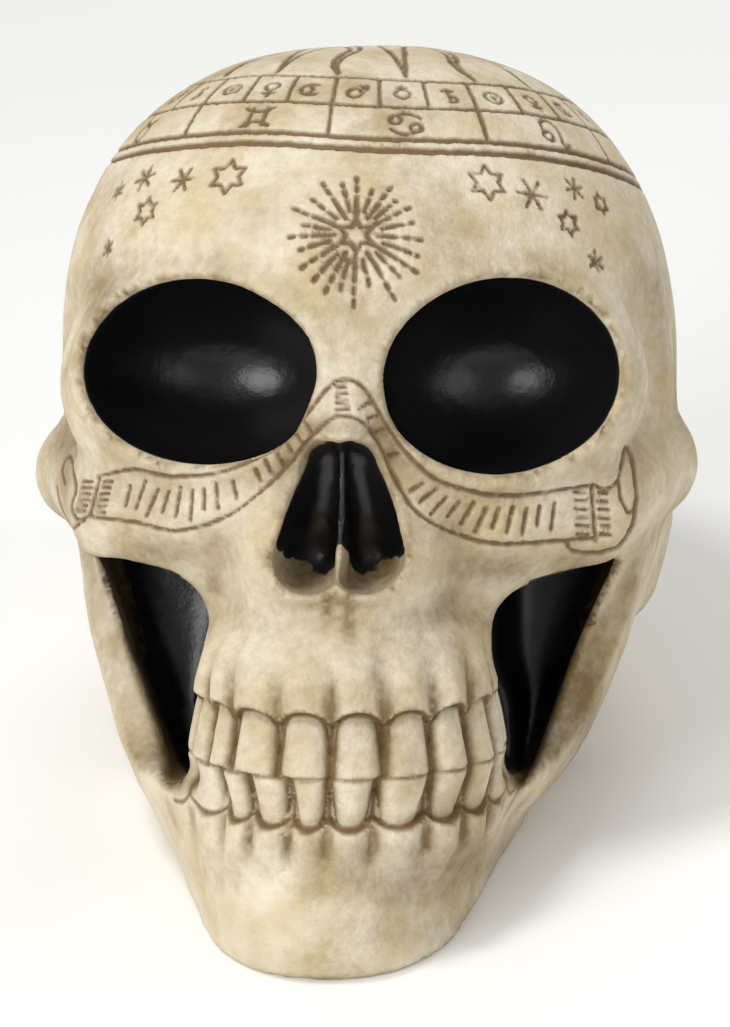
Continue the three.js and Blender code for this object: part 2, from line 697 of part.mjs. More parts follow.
function boxBelow() {
  const low = -FOOT_CUT_SIZE / 2;
  const geometry = new THREE.BoxGeometry(FOOT_CUT_SIZE, FOOT_CUT_SIZE, FOOT_CUT_SIZE);
  geometry.translate(0, 0, low);
  const position = geometry.getAttribute('position');
  const verts = [];
  const found = new Map();
  const index = [];
  for (let i = 0; i < position.count; i += 1) {
    const v = [position.getX(i), position.getY(i), position.getZ(i)];
    const id = v.join(',');
    if (!found.has(id)) {
      found.set(id, verts.length);
      verts.push(v);
    }
    index.push(found.get(id));
  }
  const faces = [];
  const order = geometry.getIndex().array;
  for (let i = 0; i < order.length; i += 3) {
    faces.push([index[order[i]], index[order[i + 1]], index[order[i + 2]]]);
  }
  return { verts, faces };
}

const wasm = await Module();
wasm.setup();

const surface = surfaceOf(skull);
surface.verts = surface.verts.map((v) => settle(skull, v, CELL_FINE / 2));
const shaped = thin(skull, refine(skull, surface));
shaped.verts = shaped.verts.map(stand);
const cast = solidOf(shaped).subtract(solidOf(boxBelow())).subtract(solidOf(ringBar()));
const clean = tidyCut(surfaceOfSolid(cast));

const geometry = new THREE.BufferGeometry();
geometry.setAttribute('position', new THREE.Float32BufferAttribute(clean.verts.flat(), 3));
geometry.setIndex(clean.faces.flat());
geometry.computeBoundingBox();
const box = geometry.boundingBox;
geometry.translate(-(box.min.x + box.max.x) / 2, -(box.min.y + box.max.y) / 2, 0);
geometry.computeVertexNormals();

const bonePaint = new THREE.MeshStandardMaterial({ color: 0xd8cbb0, roughness: 0.62, metalness: 0 });
const skullMesh = new THREE.Mesh(geometry, bonePaint);
skullMesh.name = 'skull';

const group = new THREE.Group();
group.name = 'skull_ornament';
group.add(skullMesh);

export default group;
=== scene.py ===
import math

import bpy
import numpy as np
from mathutils import Matrix, Vector


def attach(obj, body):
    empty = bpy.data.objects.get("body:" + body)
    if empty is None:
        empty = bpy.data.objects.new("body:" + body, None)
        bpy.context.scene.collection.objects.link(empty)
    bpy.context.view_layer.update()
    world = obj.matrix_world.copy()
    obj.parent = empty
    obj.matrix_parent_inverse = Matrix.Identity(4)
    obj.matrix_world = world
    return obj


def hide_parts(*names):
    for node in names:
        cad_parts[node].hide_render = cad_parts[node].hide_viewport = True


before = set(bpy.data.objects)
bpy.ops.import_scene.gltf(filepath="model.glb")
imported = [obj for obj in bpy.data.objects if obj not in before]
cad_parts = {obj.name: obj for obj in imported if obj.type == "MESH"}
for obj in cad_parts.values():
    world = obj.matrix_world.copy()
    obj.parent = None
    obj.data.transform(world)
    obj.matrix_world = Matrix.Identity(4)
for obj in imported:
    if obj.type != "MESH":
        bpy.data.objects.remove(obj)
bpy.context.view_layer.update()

bl_info = {
    "name": "Cast skull ornament",
    "version": (1, 0, 0),
    "blender": (4, 5, 0),
    "location": "View3D > Sidebar > Skull",
    "description": "Builds a hand-painted cast skull with an engraved crown, brow and cheek banner",
    "category": "Add Mesh",
}

# The skull is shaped upright, in mm: x to the viewer's right, y away from the viewer, z up, with
# z = 0 at the lower rim of the eye sockets. stand() tips it back onto its foot, in metres.
F = np.float32
MM = 0.001

# Heights and foot, as in the solid
BITE_Z = -50.3
UPPER_GUM_Z = -40.6
LOWER_GUM_Z = -58.2
CHIN_Z = -83.0
CHIN_Y = -62.0
FOOT_TILT = 24.0
PLAN_MIDDLE = (-0.600, 83.536)

# Eye sockets, left and right: how far out and how high the middle lies, half width and half height
SOCKET_OUT = (22.75, 25.5)
SOCKET_Z = (16.9, 16.1)
SOCKET_WIDE = (22.5, 20.8)
SOCKET_TALL = (15.6, 16.3)
SOCKET_RADII = (20, 22, 16)
SOCKET_Y = -62
SOCKET_TURN = (0, -7, 8)
RIM_TURN = (0, 0, 16)
CHEEK_TURN = (0, 0, 27)

# Nose: half the width of the bone that parts its top, and how far the thin wall inside stays back
NOSE_PARTING = 1.2
SEPTUM_DEPTH = 1.3

# Raised rims round the sockets and the nose: how wide and how high
SOCKET_RIM = (3, 0.9)
NOSE_RIM = (1.8, 0.8)

# Teeth, on one oval arch
ARCH_X = 0.8
ARCH_Y = -49.0
ARCH_RX = 25.0
ARCH_RY = 23.6
ARCH_CANT = 0.17
ARCH_BACK_Y = -26.0
BITE_DEPTH = 0.6
BITE_WIDTH = 0.32
TEETH_FRONT_Y = -74.0
UPPER_GAPS = (-115, -102, -89, -74.4, -57.3, -43.7, -21.9, -1.5, 18.3, 37.3, 55.5, 73.7, 88, 101, 115)
LOWER_GAPS = (-115, -102, -87, -70.7, -48.7, -34.2, -16.9, -2.3, 15.0, 37.0, 55.5, 74, 88, 101, 115)

# Jaw outline: half widths and front depths at heights
JAW_BACK_Y = -8.0
JAW_POWER = 2.4
JAW_HEIGHTS = (-83, -75, -68, -59, -54, -46, -37, -29, -21, -12)
JAW_WIDTHS = (26.4, 27.2, 30.2, 36.2, 39.5, 43.0, 45.7, 48.0, 50.2, 51.5)
CHIN_HEIGHTS = (-84, -79, -72, -66, -60, -54)
CHIN_DEPTHS = (57, 61.5, 63.5, 62.5, 60.0, 59)
RIGHT_TRIM_HEIGHTS = (-83, -78, -69, -59.5, -50, -40, -30)
RIGHT_TRIM = (0, 0, 2.6, 5.0, 2.7, 1.0, 0)
JAW_LEAN = 1.5
CHIN_LEAN = 1.8

# Widest place of each cheek arch, and how far the arch on the viewer's right is drawn in and up
LEFT_WIDEST = (53.5, -14, 1)
RIGHT_WIDEST = (52.1, -14, 2.5)
RIGHT_ARCH_SHIFT = (1.4, 0.0, -1.5)

# Room that the upright skull takes
ROOM_LOW = (-67.5, -84, -90)
ROOM_HIGH = (66, 82, 86)

# Engraving: the crown wheel's rings by height, each with the width and depth of its line, its cells,
# and how much narrower they are in front
RING_WIDE_Z = 54.4
RING_THIN_Z = 56.4
SIGN_RING_Z = 62.3
PLANET_RING_Z = 67.6
RINGS = (
    (RING_WIDE_Z, 1.3, 1.4), (RING_THIN_Z, 1.1, 1.2), (SIGN_RING_Z, 0.8, 0.9), (PLANET_RING_Z, 0.8, 0.9),
)
RING_FALL = 0.042
RING_WAVER = 0.35
RING_DROOP = 1.0
SIGN_CELLS = 12
PLANET_CELLS = 36
SIGN_SIZE = 3.8
PLANET_SIZE = 2.9
CELL_CROWDING = 0.09
FIRST_CELL_ANGLE = -3.4
SUN_RAYS = 22
SUN_DISC = 9.0

# Brow: the sunburst and the stars, as (x, z, radius) on the front of the skull
BURST = (2.7, 39.0, 12.6)
BURST_RAYS = 24
STARS = (
    (-19.6, 49.6, 3.4), (-34.3, 44.4, 2.6), (23.8, 48.4, 3.4), (37.2, 42.0, 2.3), (42.4, 46.0, 2.0),
)
ASTERISKS = (
    (-27.8, 49.5, 2.4), (-35.0, 50.4, 2.3), (-40.2, 48.6, 1.7), (31.2, 46.6, 2.9), (38.0, 48.2, 2.0),
    (41.6, 35.6, 1.9), (-41.5, 38.5, 1.4),
)

# Banner from cheek to cheek, as the x and z of its two edges
BANNER_TOP = (
    (-43.0, -0.4), (-36.0, 0.6), (-29.0, -0.6), (-20.0, 0.2), (-11.6, 4.0), (-5.6, 9.4), (-1.2, 14.2),
    (1.2, 15.2), (4.2, 13.6), (7.8, 7.6), (11.6, 2.2), (17.0, -1.8), (27.0, -3.8), (41.0, -2.0),
)
BANNER_FOOT = (
    (-44.6, -7.2), (-36.0, -8.2), (-28.5, -9.6), (-20.4, -7.6), (-14.2, -3.6), (-8.6, 1.4), (-3.0, 7.4),
    (0.8, 9.2), (5.0, 7.2), (8.8, -0.4), (12.4, -6.2), (18.2, -9.8), (26.0, -11.8), (41.6, -10.8),
)

# Groups of strokes on the banner, by the run along it from the viewer's left, and their step; then
# the folds, as two ends each, and the curls of its turned-over ends
MARK_GROUPS = ((6.5, 23.0), (26.2, 27.0), (31.0, 43.0), (54.3, 59.2), (63.5, 65.0), (70.0, 94.5))
MARK_STEP = 2.35
RIBBON_FOLDS = (((-42.6, -0.6), (-44.4, -7.0)), ((40.8, -2.2), (41.5, -11.2)))
RIBBON_CURLS = (
    ((41.0, -1.8), (43.2, -2.6), (45.3, -1.0), (46.5, 4.6), (47.8, 0.6), (48.3, -4.2), (47.2, -6.6),
     (45.9, -4.6), (45.3, -1.0)),
    ((48.2, -5.0), (47.6, -8.6), (45.2, -12.2), (41.4, -13.4), (37.6, -13.0), (36.8, -11.6)),
    ((-44.4, -7.0), (-46.8, -7.8), (-48.2, -5.6), (-47.2, -2.4), (-48.8, 1.6), (-50.6, 3.4), (-51.6, 0.8),
     (-50.4, -1.6)),
    ((-45.4, -7.8), (-49.0, -9.4), (-51.8, -6.4), (-53.0, -2.0)),
)


# Numbers and colours

def smooth_step(a, b, x):
    t = np.clip((x - a) / (b - a), 0, 1)
    return t * t * (3 - 2 * t)


def smooth_min(a, b, k):
    h = np.clip(0.5 + 0.5 * (b - a) / k, 0, 1)
    return b + (a - b) * h - k * h * (1 - h)


def smooth_max(a, b, k):
    return -smooth_min(-a, -b, k)


def length_of(v):
    return np.sqrt(np.sum(v * v, axis=-1))


def unit(v):
    return v / np.maximum(length_of(v), 1e-6)[:, None]


def linear(hex_colour):
    """An sRGB hex colour as linear red, green, blue and a full alpha."""
    parts = [int(hex_colour[i:i + 2], 16) / 255 for i in (1, 3, 5)]
    return tuple(c / 12.92 if c <= 0.04045 else ((c + 0.055) / 1.055) ** 2.4 for c in parts) + (1.0,)


# Rounded forms, each a distance that is below zero inside

def turn_matrix(turn):
    rx, ry, rz = np.radians(turn)
    cx, sx, cy, sy, cz, sz = np.cos(rx), np.sin(rx), np.cos(ry), np.sin(ry), np.cos(rz), np.sin(rz)
    about_x = np.array([[1, 0, 0], [0, cx, -sx], [0, sx, cx]])
    about_y = np.array([[cy, 0, sy], [0, 1, 0], [-sy, 0, cy]])
    about_z = np.array([[cz, -sz, 0], [sz, cz, 0], [0, 0, 1]])
    return (about_z @ about_y @ about_x).astype(F)


def local(p, centre, turn):
    q = p - np.array(centre, F)
    return q if turn is None else q @ turn_matrix(turn)


def ball(p, centre, radii, turn=None, power=2.0):
    """Ellipsoid; a power above 2 makes it squarer."""
    r = np.array(radii, F)
    q = np.abs(local(p, centre, turn)) / r
    if power == 2.0:
        k0 = length_of(q) + F(1e-6)
        return k0 * (k0 - 1) / (length_of(q / r) + F(1e-6))
    k0 = np.sum(q ** power, axis=1) ** F(1 / power) + F(1e-6)
    slope = length_of(q ** (power - 1) / r) * k0 ** (1 - power) + F(1e-6)
    return (k0 - 1) / slope


def strut(p, a, b, ra, rb, squash=(1, 1, 1)):
    """Tapered round bar from a to b; a squash under 1 stretches it along that axis."""
    s = np.array(squash, F)
    start = np.array(a, F) * s
    way = np.array(b, F) * s - start
    q = p * s - start
    t = np.clip((q @ way) / np.dot(way, way), 0, 1)
    return length_of(q - t[:, None] * way) - (ra + (rb - ra) * t)


def block(p, centre, half, rounding, turn=None):
    """Box with rounded edges."""
    q = np.abs(local(p, centre, turn)) - (np.array(half, F) - F(rounding))
    return length_of(np.maximum(q, 0)) + np.minimum(np.max(q, axis=1), 0) - F(rounding)


def column(p, centre, rx, ry, low, high, rounding):
    """Upright oval column, rounded at its ends."""
    x = (p[:, 0] - centre[0]) / rx
    y = (p[:, 1] - centre[1]) / ry
    k0 = np.hypot(x, y) + F(1e-6)
    k1 = np.hypot(x / rx, y / ry) + F(1e-6)
    end = np.abs(p[:, 2] - (low + high) / 2) - (high - low) / 2
    return smooth_max(k0 * (k0 - 1) / k1, end, rounding)


# The skull's own forms

def across_tooth(angle, gaps):
    """Place across its own tooth, from 0 in the middle to 1 at the gap, for angles round the arch."""
    edges = np.array(gaps, F)
    number = np.clip(np.searchsorted(edges, angle, side="right") - 1, 0, len(edges) - 2)
    u = (angle - edges[number]) / (edges[number + 1] - edges[number]) * 2 - 1
    return np.abs(np.clip(u, -1, 1))


def tooth_round(u, wide):
    return np.clip(1 - (u / wide) ** 2.4, 0, 1) ** 0.62


def upper_relief(angle, z):
    """How far the upper row stands out of the arch."""
    u = across_tooth(angle, UPPER_GAPS)
    v = np.clip((z - BITE_Z) / (UPPER_GUM_Z - BITE_Z), 0, 1.3)
    tooth = (3.6 - 1.9 * v) * tooth_round(u, 1.05 - 0.27 * v) - 1.0 - 0.3 * v
    gum = UPPER_GUM_Z + 0.8 - 2.6 * u ** 2.2
    flute = 1.3 * (1 - 1.5 * u ** 1.6) * smooth_step(UPPER_GUM_Z + 15, UPPER_GUM_Z + 4, z)
    root = 1.2 - 3.6 * smooth_step(UPPER_GUM_Z + 3, UPPER_GUM_Z + 18, z) + flute
    return tooth + (root - tooth) * smooth_step(gum - 0.2, gum + 0.8, z), z - gum, u


def lower_relief(angle, z):
    """How far the lower row stands out of the arch."""
    u = across_tooth(angle, LOWER_GAPS)
    v = np.clip((BITE_Z - z) / (BITE_Z - LOWER_GUM_Z), 0, 1.4)
    tooth = (3.6 - 2.0 * v) * tooth_round(u, 1.04 - 0.36 * v) - 1.0 - 0.9 * v
    gum = LOWER_GUM_Z - 0.6 + 1.9 * u ** 2.2
    flute = 1.1 * (1 - 1.7 * u ** 1.6) * smooth_step(LOWER_GUM_Z - 11, LOWER_GUM_Z - 3, z)
    root = 0.4 - 1.5 * smooth_step(LOWER_GUM_Z - 3, LOWER_GUM_Z - 14, z) + flute
    return tooth + (root - tooth) * smooth_step(gum + 0.2, gum - 0.8, z), gum - z, u


def arch_place(p):
    """Angle round the dental arch, height above its canted plane, and distance from its wall."""
    x, y = p[:, 0] - ARCH_X, p[:, 1]
    z = p[:, 2] - ARCH_CANT * (y - TEETH_FRONT_Y)
    qx = x / ARCH_RX
    qy = np.minimum(y - ARCH_Y, 0) / ARCH_RY
    k0 = np.hypot(qx, qy) + 1e-6
    k1 = np.hypot(qx / ARCH_RX, qy / ARCH_RY) + 1e-6
    turn_back = np.sign(x) * np.maximum(y - ARCH_Y, 0) / ARCH_RX
    return np.degrees(np.arctan2(qx, -qy + 1e-9) + turn_back), z, k0 * (k0 - 1) / k1


def dental(p):
    """Teeth and the fluted bone above and below them."""
    angle, z, wall = arch_place(p)
    upper = upper_relief(angle, z)[0]
    lower = lower_relief(angle, z)[0]
    bite = BITE_DEPTH * np.exp(-((z - BITE_Z) / BITE_WIDTH) ** 2)
    relief = lower + (upper - lower) * smooth_step(BITE_Z - 0.5, BITE_Z + 0.5, z) - bite
    ends = smooth_max(z - (UPPER_GUM_Z + 18), (LOWER_GUM_Z - 12) - z, 6)
    return smooth_max(smooth_max(wall - relief, ends, 8), p[:, 1] - ARCH_BACK_Y, 4)


def jaw_outline(p):
    """V-shaped outline of the jaw, seen from the front, bowed round to the chin."""
    x, y, z = p.T
    trim = np.where(x > 0, np.interp(z, RIGHT_TRIM_HEIGHTS, RIGHT_TRIM), 0)
    wide = (np.interp(z, JAW_HEIGHTS, JAW_WIDTHS) - trim).astype(F)
    deep = np.interp(z, CHIN_HEIGHTS, CHIN_DEPTHS).astype(F)
    n = F(JAW_POWER)
    qx = np.abs(x / wide) + F(1e-6)
    qy = np.abs(np.minimum(y - JAW_BACK_Y, 0) / deep)
    k0 = (qx ** n + qy ** n) ** (1 / n)
    slope = np.hypot(qx ** (n - 1) / wide, qy ** (n - 1) / deep) * k0 ** (1 - n)
    return (k0 - 1) / slope


def jaw_bone(p, outline):
    y, z = p[:, 1], p[:, 2]
    body = z - (-51.5 + 0.10 * (y + 60))
    ramus = (-24 - 0.30 * (-16 - z)) - y
    d = smooth_max(outline, smooth_min(body, ramus, 6), 4)
    d = smooth_max(d, y - 7 - 0.15 * (z + 20), 5)
    return smooth_max(d, z + 4, 6)


def bone(p):
    """All the bone before its hollows are cut."""
    x, y, z = p.T
    m = np.stack([np.abs(x), y, z], 1)
    d = ball(p, (0, 2, 17), (55.3, 72, 60.4), None, 2.5)
    d = smooth_min(d, ball(p, (0, -22, 24), (51, 48, 49.5), None, 2.2), 6)
    d = smooth_min(d, ball(p, (0, 42, 4), (43, 34, 36)), 14)
    d = smooth_min(d, ball(p, (0, 18, -14), (44, 46, 26)), 16)
    # temples
    d = smooth_max(d, -ball(m, (65, -41, 15), (20, 17, 25)), 5)
    # brow and bridge of the nose
    d = smooth_min(d, ball(m, (26.5, -51, 16), (24.2, 16.5, 21.5), RIM_TURN), 3.5)
    d = smooth_min(d, ball(p, (0, -58, 33), (18, 13.5, 12)), 10)
    d = smooth_min(d, strut(p, (0, -64, 28), (0, -71.5, 8.5), 6.5, 4.0, (0.85, 1, 1)), 6)
    # cheek bones and their arches
    d = smooth_min(d, block(m, (31, -50.5, -5.5), (15.5, 8, 8.6), 5.5, CHEEK_TURN), 4)
    arch = m + np.where(x > 0, 1, 0)[:, None] * np.array(RIGHT_ARCH_SHIFT, F)
    left, right = (strut(m, (42, -44, -4.6), end, 7.4, 5.6, (1, 1, 0.8))
                   for end in (LEFT_WIDEST, RIGHT_WIDEST))
    d = smooth_min(d, np.where(x > 0, right, left), 4)
    d = smooth_min(d, strut(arch, LEFT_WIDEST, (50, 4, 2.4), 5.6, 6, (1, 1, 0.8)), 5)
    d = smooth_min(d, ball(m, (45, -24, -1), (8.5, 20, 6)), 4)
    d = smooth_min(d, ball(p, (52.4, -9, 2.4), (4.4, 9, 4.6), None, 3.0), 2.5)
    # upper jaw
    d = smooth_min(d, column(p, (0, -50), 19.5, 20.5, -44, -2, 8), 5)
    d = smooth_min(d, ball(m, (8, -63, -12), (9, 9, 13)), 5)
    d = smooth_min(d, block(p, (0, -30, -26), (17, 22, 26), 6), 4)
    d = smooth_min(d, dental(p), 2)
    # bumps behind the jaw
    d = smooth_min(d, strut(m, (45, 14, -8), (45, 11, -19), 8, 6.5), 6)
    # lower jaw, and the mass that fills it
    outline = jaw_outline(p)
    d = smooth_min(d, jaw_bone(p, outline), 3)
    d = smooth_min(d, smooth_max(outline + 5, block(p, (0, -6, -34), (60, 28, 34), 10), 5), 4)
    return smooth_min(d, block(p, (0, 28, -26), (33, 28, 26), 16), 12)


def socket_hollow(p):
    x, y, z = p.T
    side = (x >= 0).astype(int)
    out, high, wide, tall = (np.array(v)[side] for v in (SOCKET_OUT, SOCKET_Z, SOCKET_WIDE, SOCKET_TALL))
    across = (np.abs(x) - out) / wide * SOCKET_RADII[0]
    above = (z - high) / tall * SOCKET_RADII[2]
    return ball(np.stack([across, y, above], 1).astype(F), (0, SOCKET_Y, 0), SOCKET_RADII, SOCKET_TURN)


def nose_hollow(p):
    parting = NOSE_PARTING * smooth_step(-8, 0, p[:, 2])
    m = np.stack([np.hypot(p[:, 0], parting), p[:, 1], p[:, 2]], 1)
    return strut(m, (2.8, -73, 1.4), (4.8, -70, -13.8), 3.8, 6.2, (1, 0.5, 1))


def outer_wall(p):
    """Way past the branch of the jaw that closes a cheek window on its outer side."""
    x, z = p[:, 0], p[:, 2]
    left = x < 0
    return (np.abs(x) - np.where(left, 45.0, 44.3) - np.where(left, 0.40, 0.37) * (z + 16)) * 0.9


def cheek_hollow(p):
    """Space between the cheek bone, the teeth and the branch of the jaw."""
    x, y, z = p.T
    left = x < 0
    roof = z + np.where(left, 13.8, 16.2) - 0.3 * (y + 45)
    teeth = smooth_step(-30, -41, z) * (1 - smooth_step(-56, -63, z))
    inner = 24.0 + 0.05 * (-24 - z) + 2.4 * teeth - np.abs(x - ARCH_X)
    floor = np.where(left, -54, -60.5) - z
    d = smooth_max(smooth_max(roof, inner, 11), outer_wall(p), 4)
    return smooth_max(smooth_max(d, floor, 4), y + 14, 8)


def foot_height(p):
    t = math.radians(FOOT_TILT)
    return (p[:, 2] - CHIN_Z) * math.cos(t) - (p[:, 1] - CHIN_Y) * math.sin(t)


def upright(p):
    """Places with the jaw's lean to one side taken out."""
    z = p[:, 2]
    lean = JAW_LEAN * smooth_step(-6, -32, z) + CHIN_LEAN * smooth_step(-50, -80, z)
    return np.stack([p[:, 0] + lean, p[:, 1], z], 1).astype(F)


def skull_forms(p):
    """The whole skull, its skin before the hollows are cut, and the hollows behind the cheeks."""
    q = upright(p)
    socket = socket_hollow(q)
    nose = nose_hollow(q)
    cheek = cheek_hollow(q)
    d = bone(q)
    d = smooth_min(d, smooth_max(socket - SOCKET_RIM[0], d - SOCKET_RIM[1], 2.5), 1.2)
    d = smooth_min(d, smooth_max(nose - NOSE_RIM[0], d - NOSE_RIM[1], 1.5), 1)
    skin = d
    d = smooth_max(d, -socket, 2)
    d = smooth_max(d, -nose, 1.2)
    d = smooth_max(d, -cheek, 2)
    wall = smooth_max(block(q, (0, -64, -6), (1.0, 12, 14), 0.5), np.abs(q[:, 0]) + 0.20 * skin + 0.02, 0.3)
    d = smooth_min(d, smooth_max(wall, skin + SEPTUM_DEPTH, 0.3), 0.8)
    return smooth_max(d, -foot_height(p), 0.8), skin, cheek


def skull(p):
    return skull_forms(p)[0]


# From the field to a mesh

def in_parts(field, p, size=200000):
    return np.concatenate([field(p[i:i + size]) for i in range(0, len(p), size)])


def gradient(field, p, h=0.08):
    corners = np.array([[1, -1, -1], [-1, -1, 1], [-1, 1, -1], [1, 1, 1]], F)
    total = np.zeros_like(p)
    for corner in corners:
        total += corner * in_parts(field, p + corner * F(h))[:, None]
    return total / (4 * h)


def settle(field, p, steps, limit):
    """Moves points down the field's slope until they lie on the surface."""
    p = p.astype(F)
    for _ in range(steps):
        slope = gradient(field, p)
        value = in_parts(field, p)
        move = -(value / np.maximum(np.sum(slope * slope, 1), 0.05))[:, None] * slope
        far = np.maximum(length_of(move), 1e-6)
        p = p + move * np.minimum(1, limit / far)[:, None]
    return p.astype(F)


def near_surface(field, cell, coarse=4):
    """Field on a grid, worked out in full only where the surface is near."""
    low, high = np.array(ROOM_LOW, float), np.array(ROOM_HIGH, float)
    count = np.ceil((high - low) / (cell * coarse)).astype(int) * coarse + 1
    axes = [low[i] + np.arange(count[i]) * cell for i in range(3)]
    rough = [a[::coarse] for a in axes]
    points = np.stack(np.meshgrid(*rough, indexing="ij"), -1).reshape(-1, 3).astype(F)
    value = in_parts(field, points).reshape([len(a) for a in rough])
    whole = value
    for axis in range(3):
        whole = np.repeat(whole, coarse, axis)
    whole = whole[:count[0], :count[1], :count[2]].astype(F)
    near = np.abs(value) < cell * coarse * 1.8 + 3
    boxes = np.zeros([len(a) - 1 for a in rough], bool)
    for i in (0, 1):
        for j in (0, 1):
            for k in (0, 1):
                boxes |= near[i:i + boxes.shape[0], j:j + boxes.shape[1], k:k + boxes.shape[2]]
    for axis in range(3):
        boxes = np.repeat(boxes, coarse, axis)
    full = np.zeros(count, bool)
    full[:-1, :-1, :-1] = boxes
    for axis in range(3):
        full |= np.roll(full, 1, axis)
    at = np.argwhere(full)
    points = np.stack([axes[i][at[:, i]] for i in range(3)], 1).astype(F)
    whole[tuple(at.T)] = in_parts(field, points)
    return whole, low


def surface_of(field, cell):
    """Closed surface at the zero level, one vertex to each crossed cell."""
    values, origin = near_surface(field, cell)
    inside = values < 0
    corners = [(i, j, k) for i in (0, 1) for j in (0, 1) for k in (0, 1)]
    cx, cy, cz = (n - 1 for n in values.shape)
    count = sum(inside[i:i + cx, j:j + cy, k:k + cz].astype(np.int16) for i, j, k in corners)
    mixed = (count > 0) & (count < 8)
    cells = np.argwhere(mixed)
    number = -np.ones(mixed.shape, np.int64)
    number[mixed] = np.arange(len(cells))
    total = np.zeros((len(cells), 3))
    crossings = np.zeros(len(cells))
    for a in corners:
        for axis in range(3):
            if a[axis]:
                continue
            b = list(a)
            b[axis] = 1
            va = values[tuple((cells + a).T)]
            vb = values[tuple((cells + b).T)]
            crossed = (va < 0) != (vb < 0)
            t = np.where(crossed, va / np.where(crossed, va - vb, 1), 0)
            place = np.array(a) + t[:, None] * (np.array(b) - np.array(a))
            total += np.where(crossed[:, None], place, 0)
            crossings += crossed
    verts = (cells + total / crossings[:, None]) * cell + origin
    faces = []
    for axis in range(3):
        u, v = (axis + 1) % 3, (axis + 2) % 3
        first = [slice(1, -1)] * 3
        first[axis] = slice(0, -1)
        second = list(first)
        second[axis] = slice(1, None)
        a, b = inside[tuple(first)], inside[tuple(second)]
        at = np.argwhere(a != b)
        outward = a[tuple(at.T)]
        for k in (u, v):
            at[:, k] += 1
        quad = []
        for du, dv in ((1, 1), (0, 1), (0, 0), (1, 0)):
            c = at.copy()
            c[:, u] -= du
            c[:, v] -= dv
            quad.append(number[tuple(c.T)])
        quad = np.stack(quad, 1)
        quad[~outward] = quad[~outward][:, ::-1]
        faces += [quad[:, [0, 1, 2]], quad[:, [0, 2, 3]]]
    return verts.astype(F), np.concatenate(faces)


def split_long(verts, faces, wanted, place):
    """Splits each edge longer than wanted(middle); every face keeps to its neighbours' new points."""
    sides = np.concatenate([faces[:, [0, 1]], faces[:, [1, 2]], faces[:, [2, 0]]])
    keys = np.sort(sides, 1)
    keys = keys[:, 0] * len(verts) + keys[:, 1]
    edges, which = np.unique(keys, return_inverse=True)
    a, b = verts[edges // len(verts)], verts[edges % len(verts)]
    middle = (a + b) / 2
    cut = length_of(a - b) > wanted(middle)
    new = -np.ones(len(edges), np.int64)
    new[cut] = len(verts) + np.arange(cut.sum())
    verts = np.concatenate([verts, place(middle[cut])])
    mids = new[which].reshape(3, -1).T
    out = [faces[(mids < 0).all(1)]]
    for start in range(3):
        f = np.roll(faces, -start, 1)
        m = np.roll(mids, -start, 1)
        one = (m[:, 0] >= 0) & (m[:, 1] < 0) & (m[:, 2] < 0)
        two = (m[:, 0] >= 0) & (m[:, 1] >= 0) & (m[:, 2] < 0)
        g, n = f[one], m[one]
        out += [np.stack([g[:, 0], n[:, 0], g[:, 2]], 1), np.stack([n[:, 0], g[:, 1], g[:, 2]], 1)]
        g, n = f[two], m[two]
        out += [np.stack([g[:, 0], n[:, 0], g[:, 2]], 1), np.stack([n[:, 0], n[:, 1], g[:, 2]], 1)]
        out.append(np.stack([n[:, 0], g[:, 1], n[:, 1]], 1))
    three = (mids >= 0).all(1)
    g, n = faces[three], mids[three]
    for k in range(3):
        out.append(np.stack([g[:, k], n[:, k], n[:, k - 1]], 1))
    out.append(n)
    return verts, np.concatenate(out)


# Engraving. Each line is a groove: where it runs, how wide and how deep it is cut

class Engraving:
    """Depth of the cut, and how far inside the nearest line's edge, at each of a set of points."""

    def __init__(self, points, normals, width, depth):
        self.p = points
        self.n = normals
        self.width = width
        self.depth = depth
        self.cut = np.zeros(len(points), F)
        self.inside = np.full(len(points), -9.0, F)
        x, y, z = points.T
        self.waver = 0.10 * np.sin(x * 1.9 + z * 0.7) * np.sin(z * 1.7 - y * 1.3)

    def line(self, where, way, width=1.0, depth=1.0):
        """Cuts a line along way = 0 at the points in where."""
        half = self.width * width / 2
        way = np.abs(way + self.waver[where])
        cut = self.depth * depth * (1 - smooth_step(0.35 * half, 1.3 * half, way))
        self.cut[where] = np.maximum(self.cut[where], cut)
        self.inside[where] = np.maximum(self.inside[where], half - way)

    def motif(self, centre, normal, up, size, strokes, width=1.0, depth=1.0):
        """Draws strokes in a flat square of half side size, laid on the surface at centre."""
        out = np.array(normal) / np.linalg.norm(normal)
        across = np.cross(up, out)
        across = across / np.linalg.norm(across)
        upward = np.cross(out, across)
        offset = self.p - np.array(centre, F)
        where = np.nonzero((length_of(offset) < size * 1.5 + 1) & (self.n @ out > 0.3))[0]
        if len(where) == 0:
            return
        u = offset[where] @ across.astype(F) / size
        v = offset[where] @ upward.astype(F) / size
        self.line(where, stroke_way(u, v, strokes) * size, width, depth)


def stroke_way(u, v, strokes):
    """Way from flat points to the nearest stroke: (x0, y0, x1, y1) is a line, and
    (x, y, radius, start, end) is an arc, its angles in degrees from the right."""
    best = np.full(u.shape, 99.0, F)
    for stroke in strokes:
        if len(stroke) == 4:
            x0, y0, x1, y1 = stroke
            dx, dy = x1 - x0, y1 - y0
            t = np.clip(((u - x0) * dx + (v - y0) * dy) / max(dx * dx + dy * dy, 1e-9), 0, 1)
            way = np.hypot(u - x0 - t * dx, v - y0 - t * dy)
        else:
            x, y, radius, start, end = stroke
            middle, half = math.radians((start + end) / 2), math.radians((end - start) / 2)
            turn = (np.arctan2(v - y, u - x) - middle + math.pi) % (2 * math.pi) - math.pi
            turn = np.clip(turn, -half, half) + middle
            way = np.hypot(u - x - radius * np.cos(turn), v - y - radius * np.sin(turn))
        best = np.minimum(best, way)
    return best


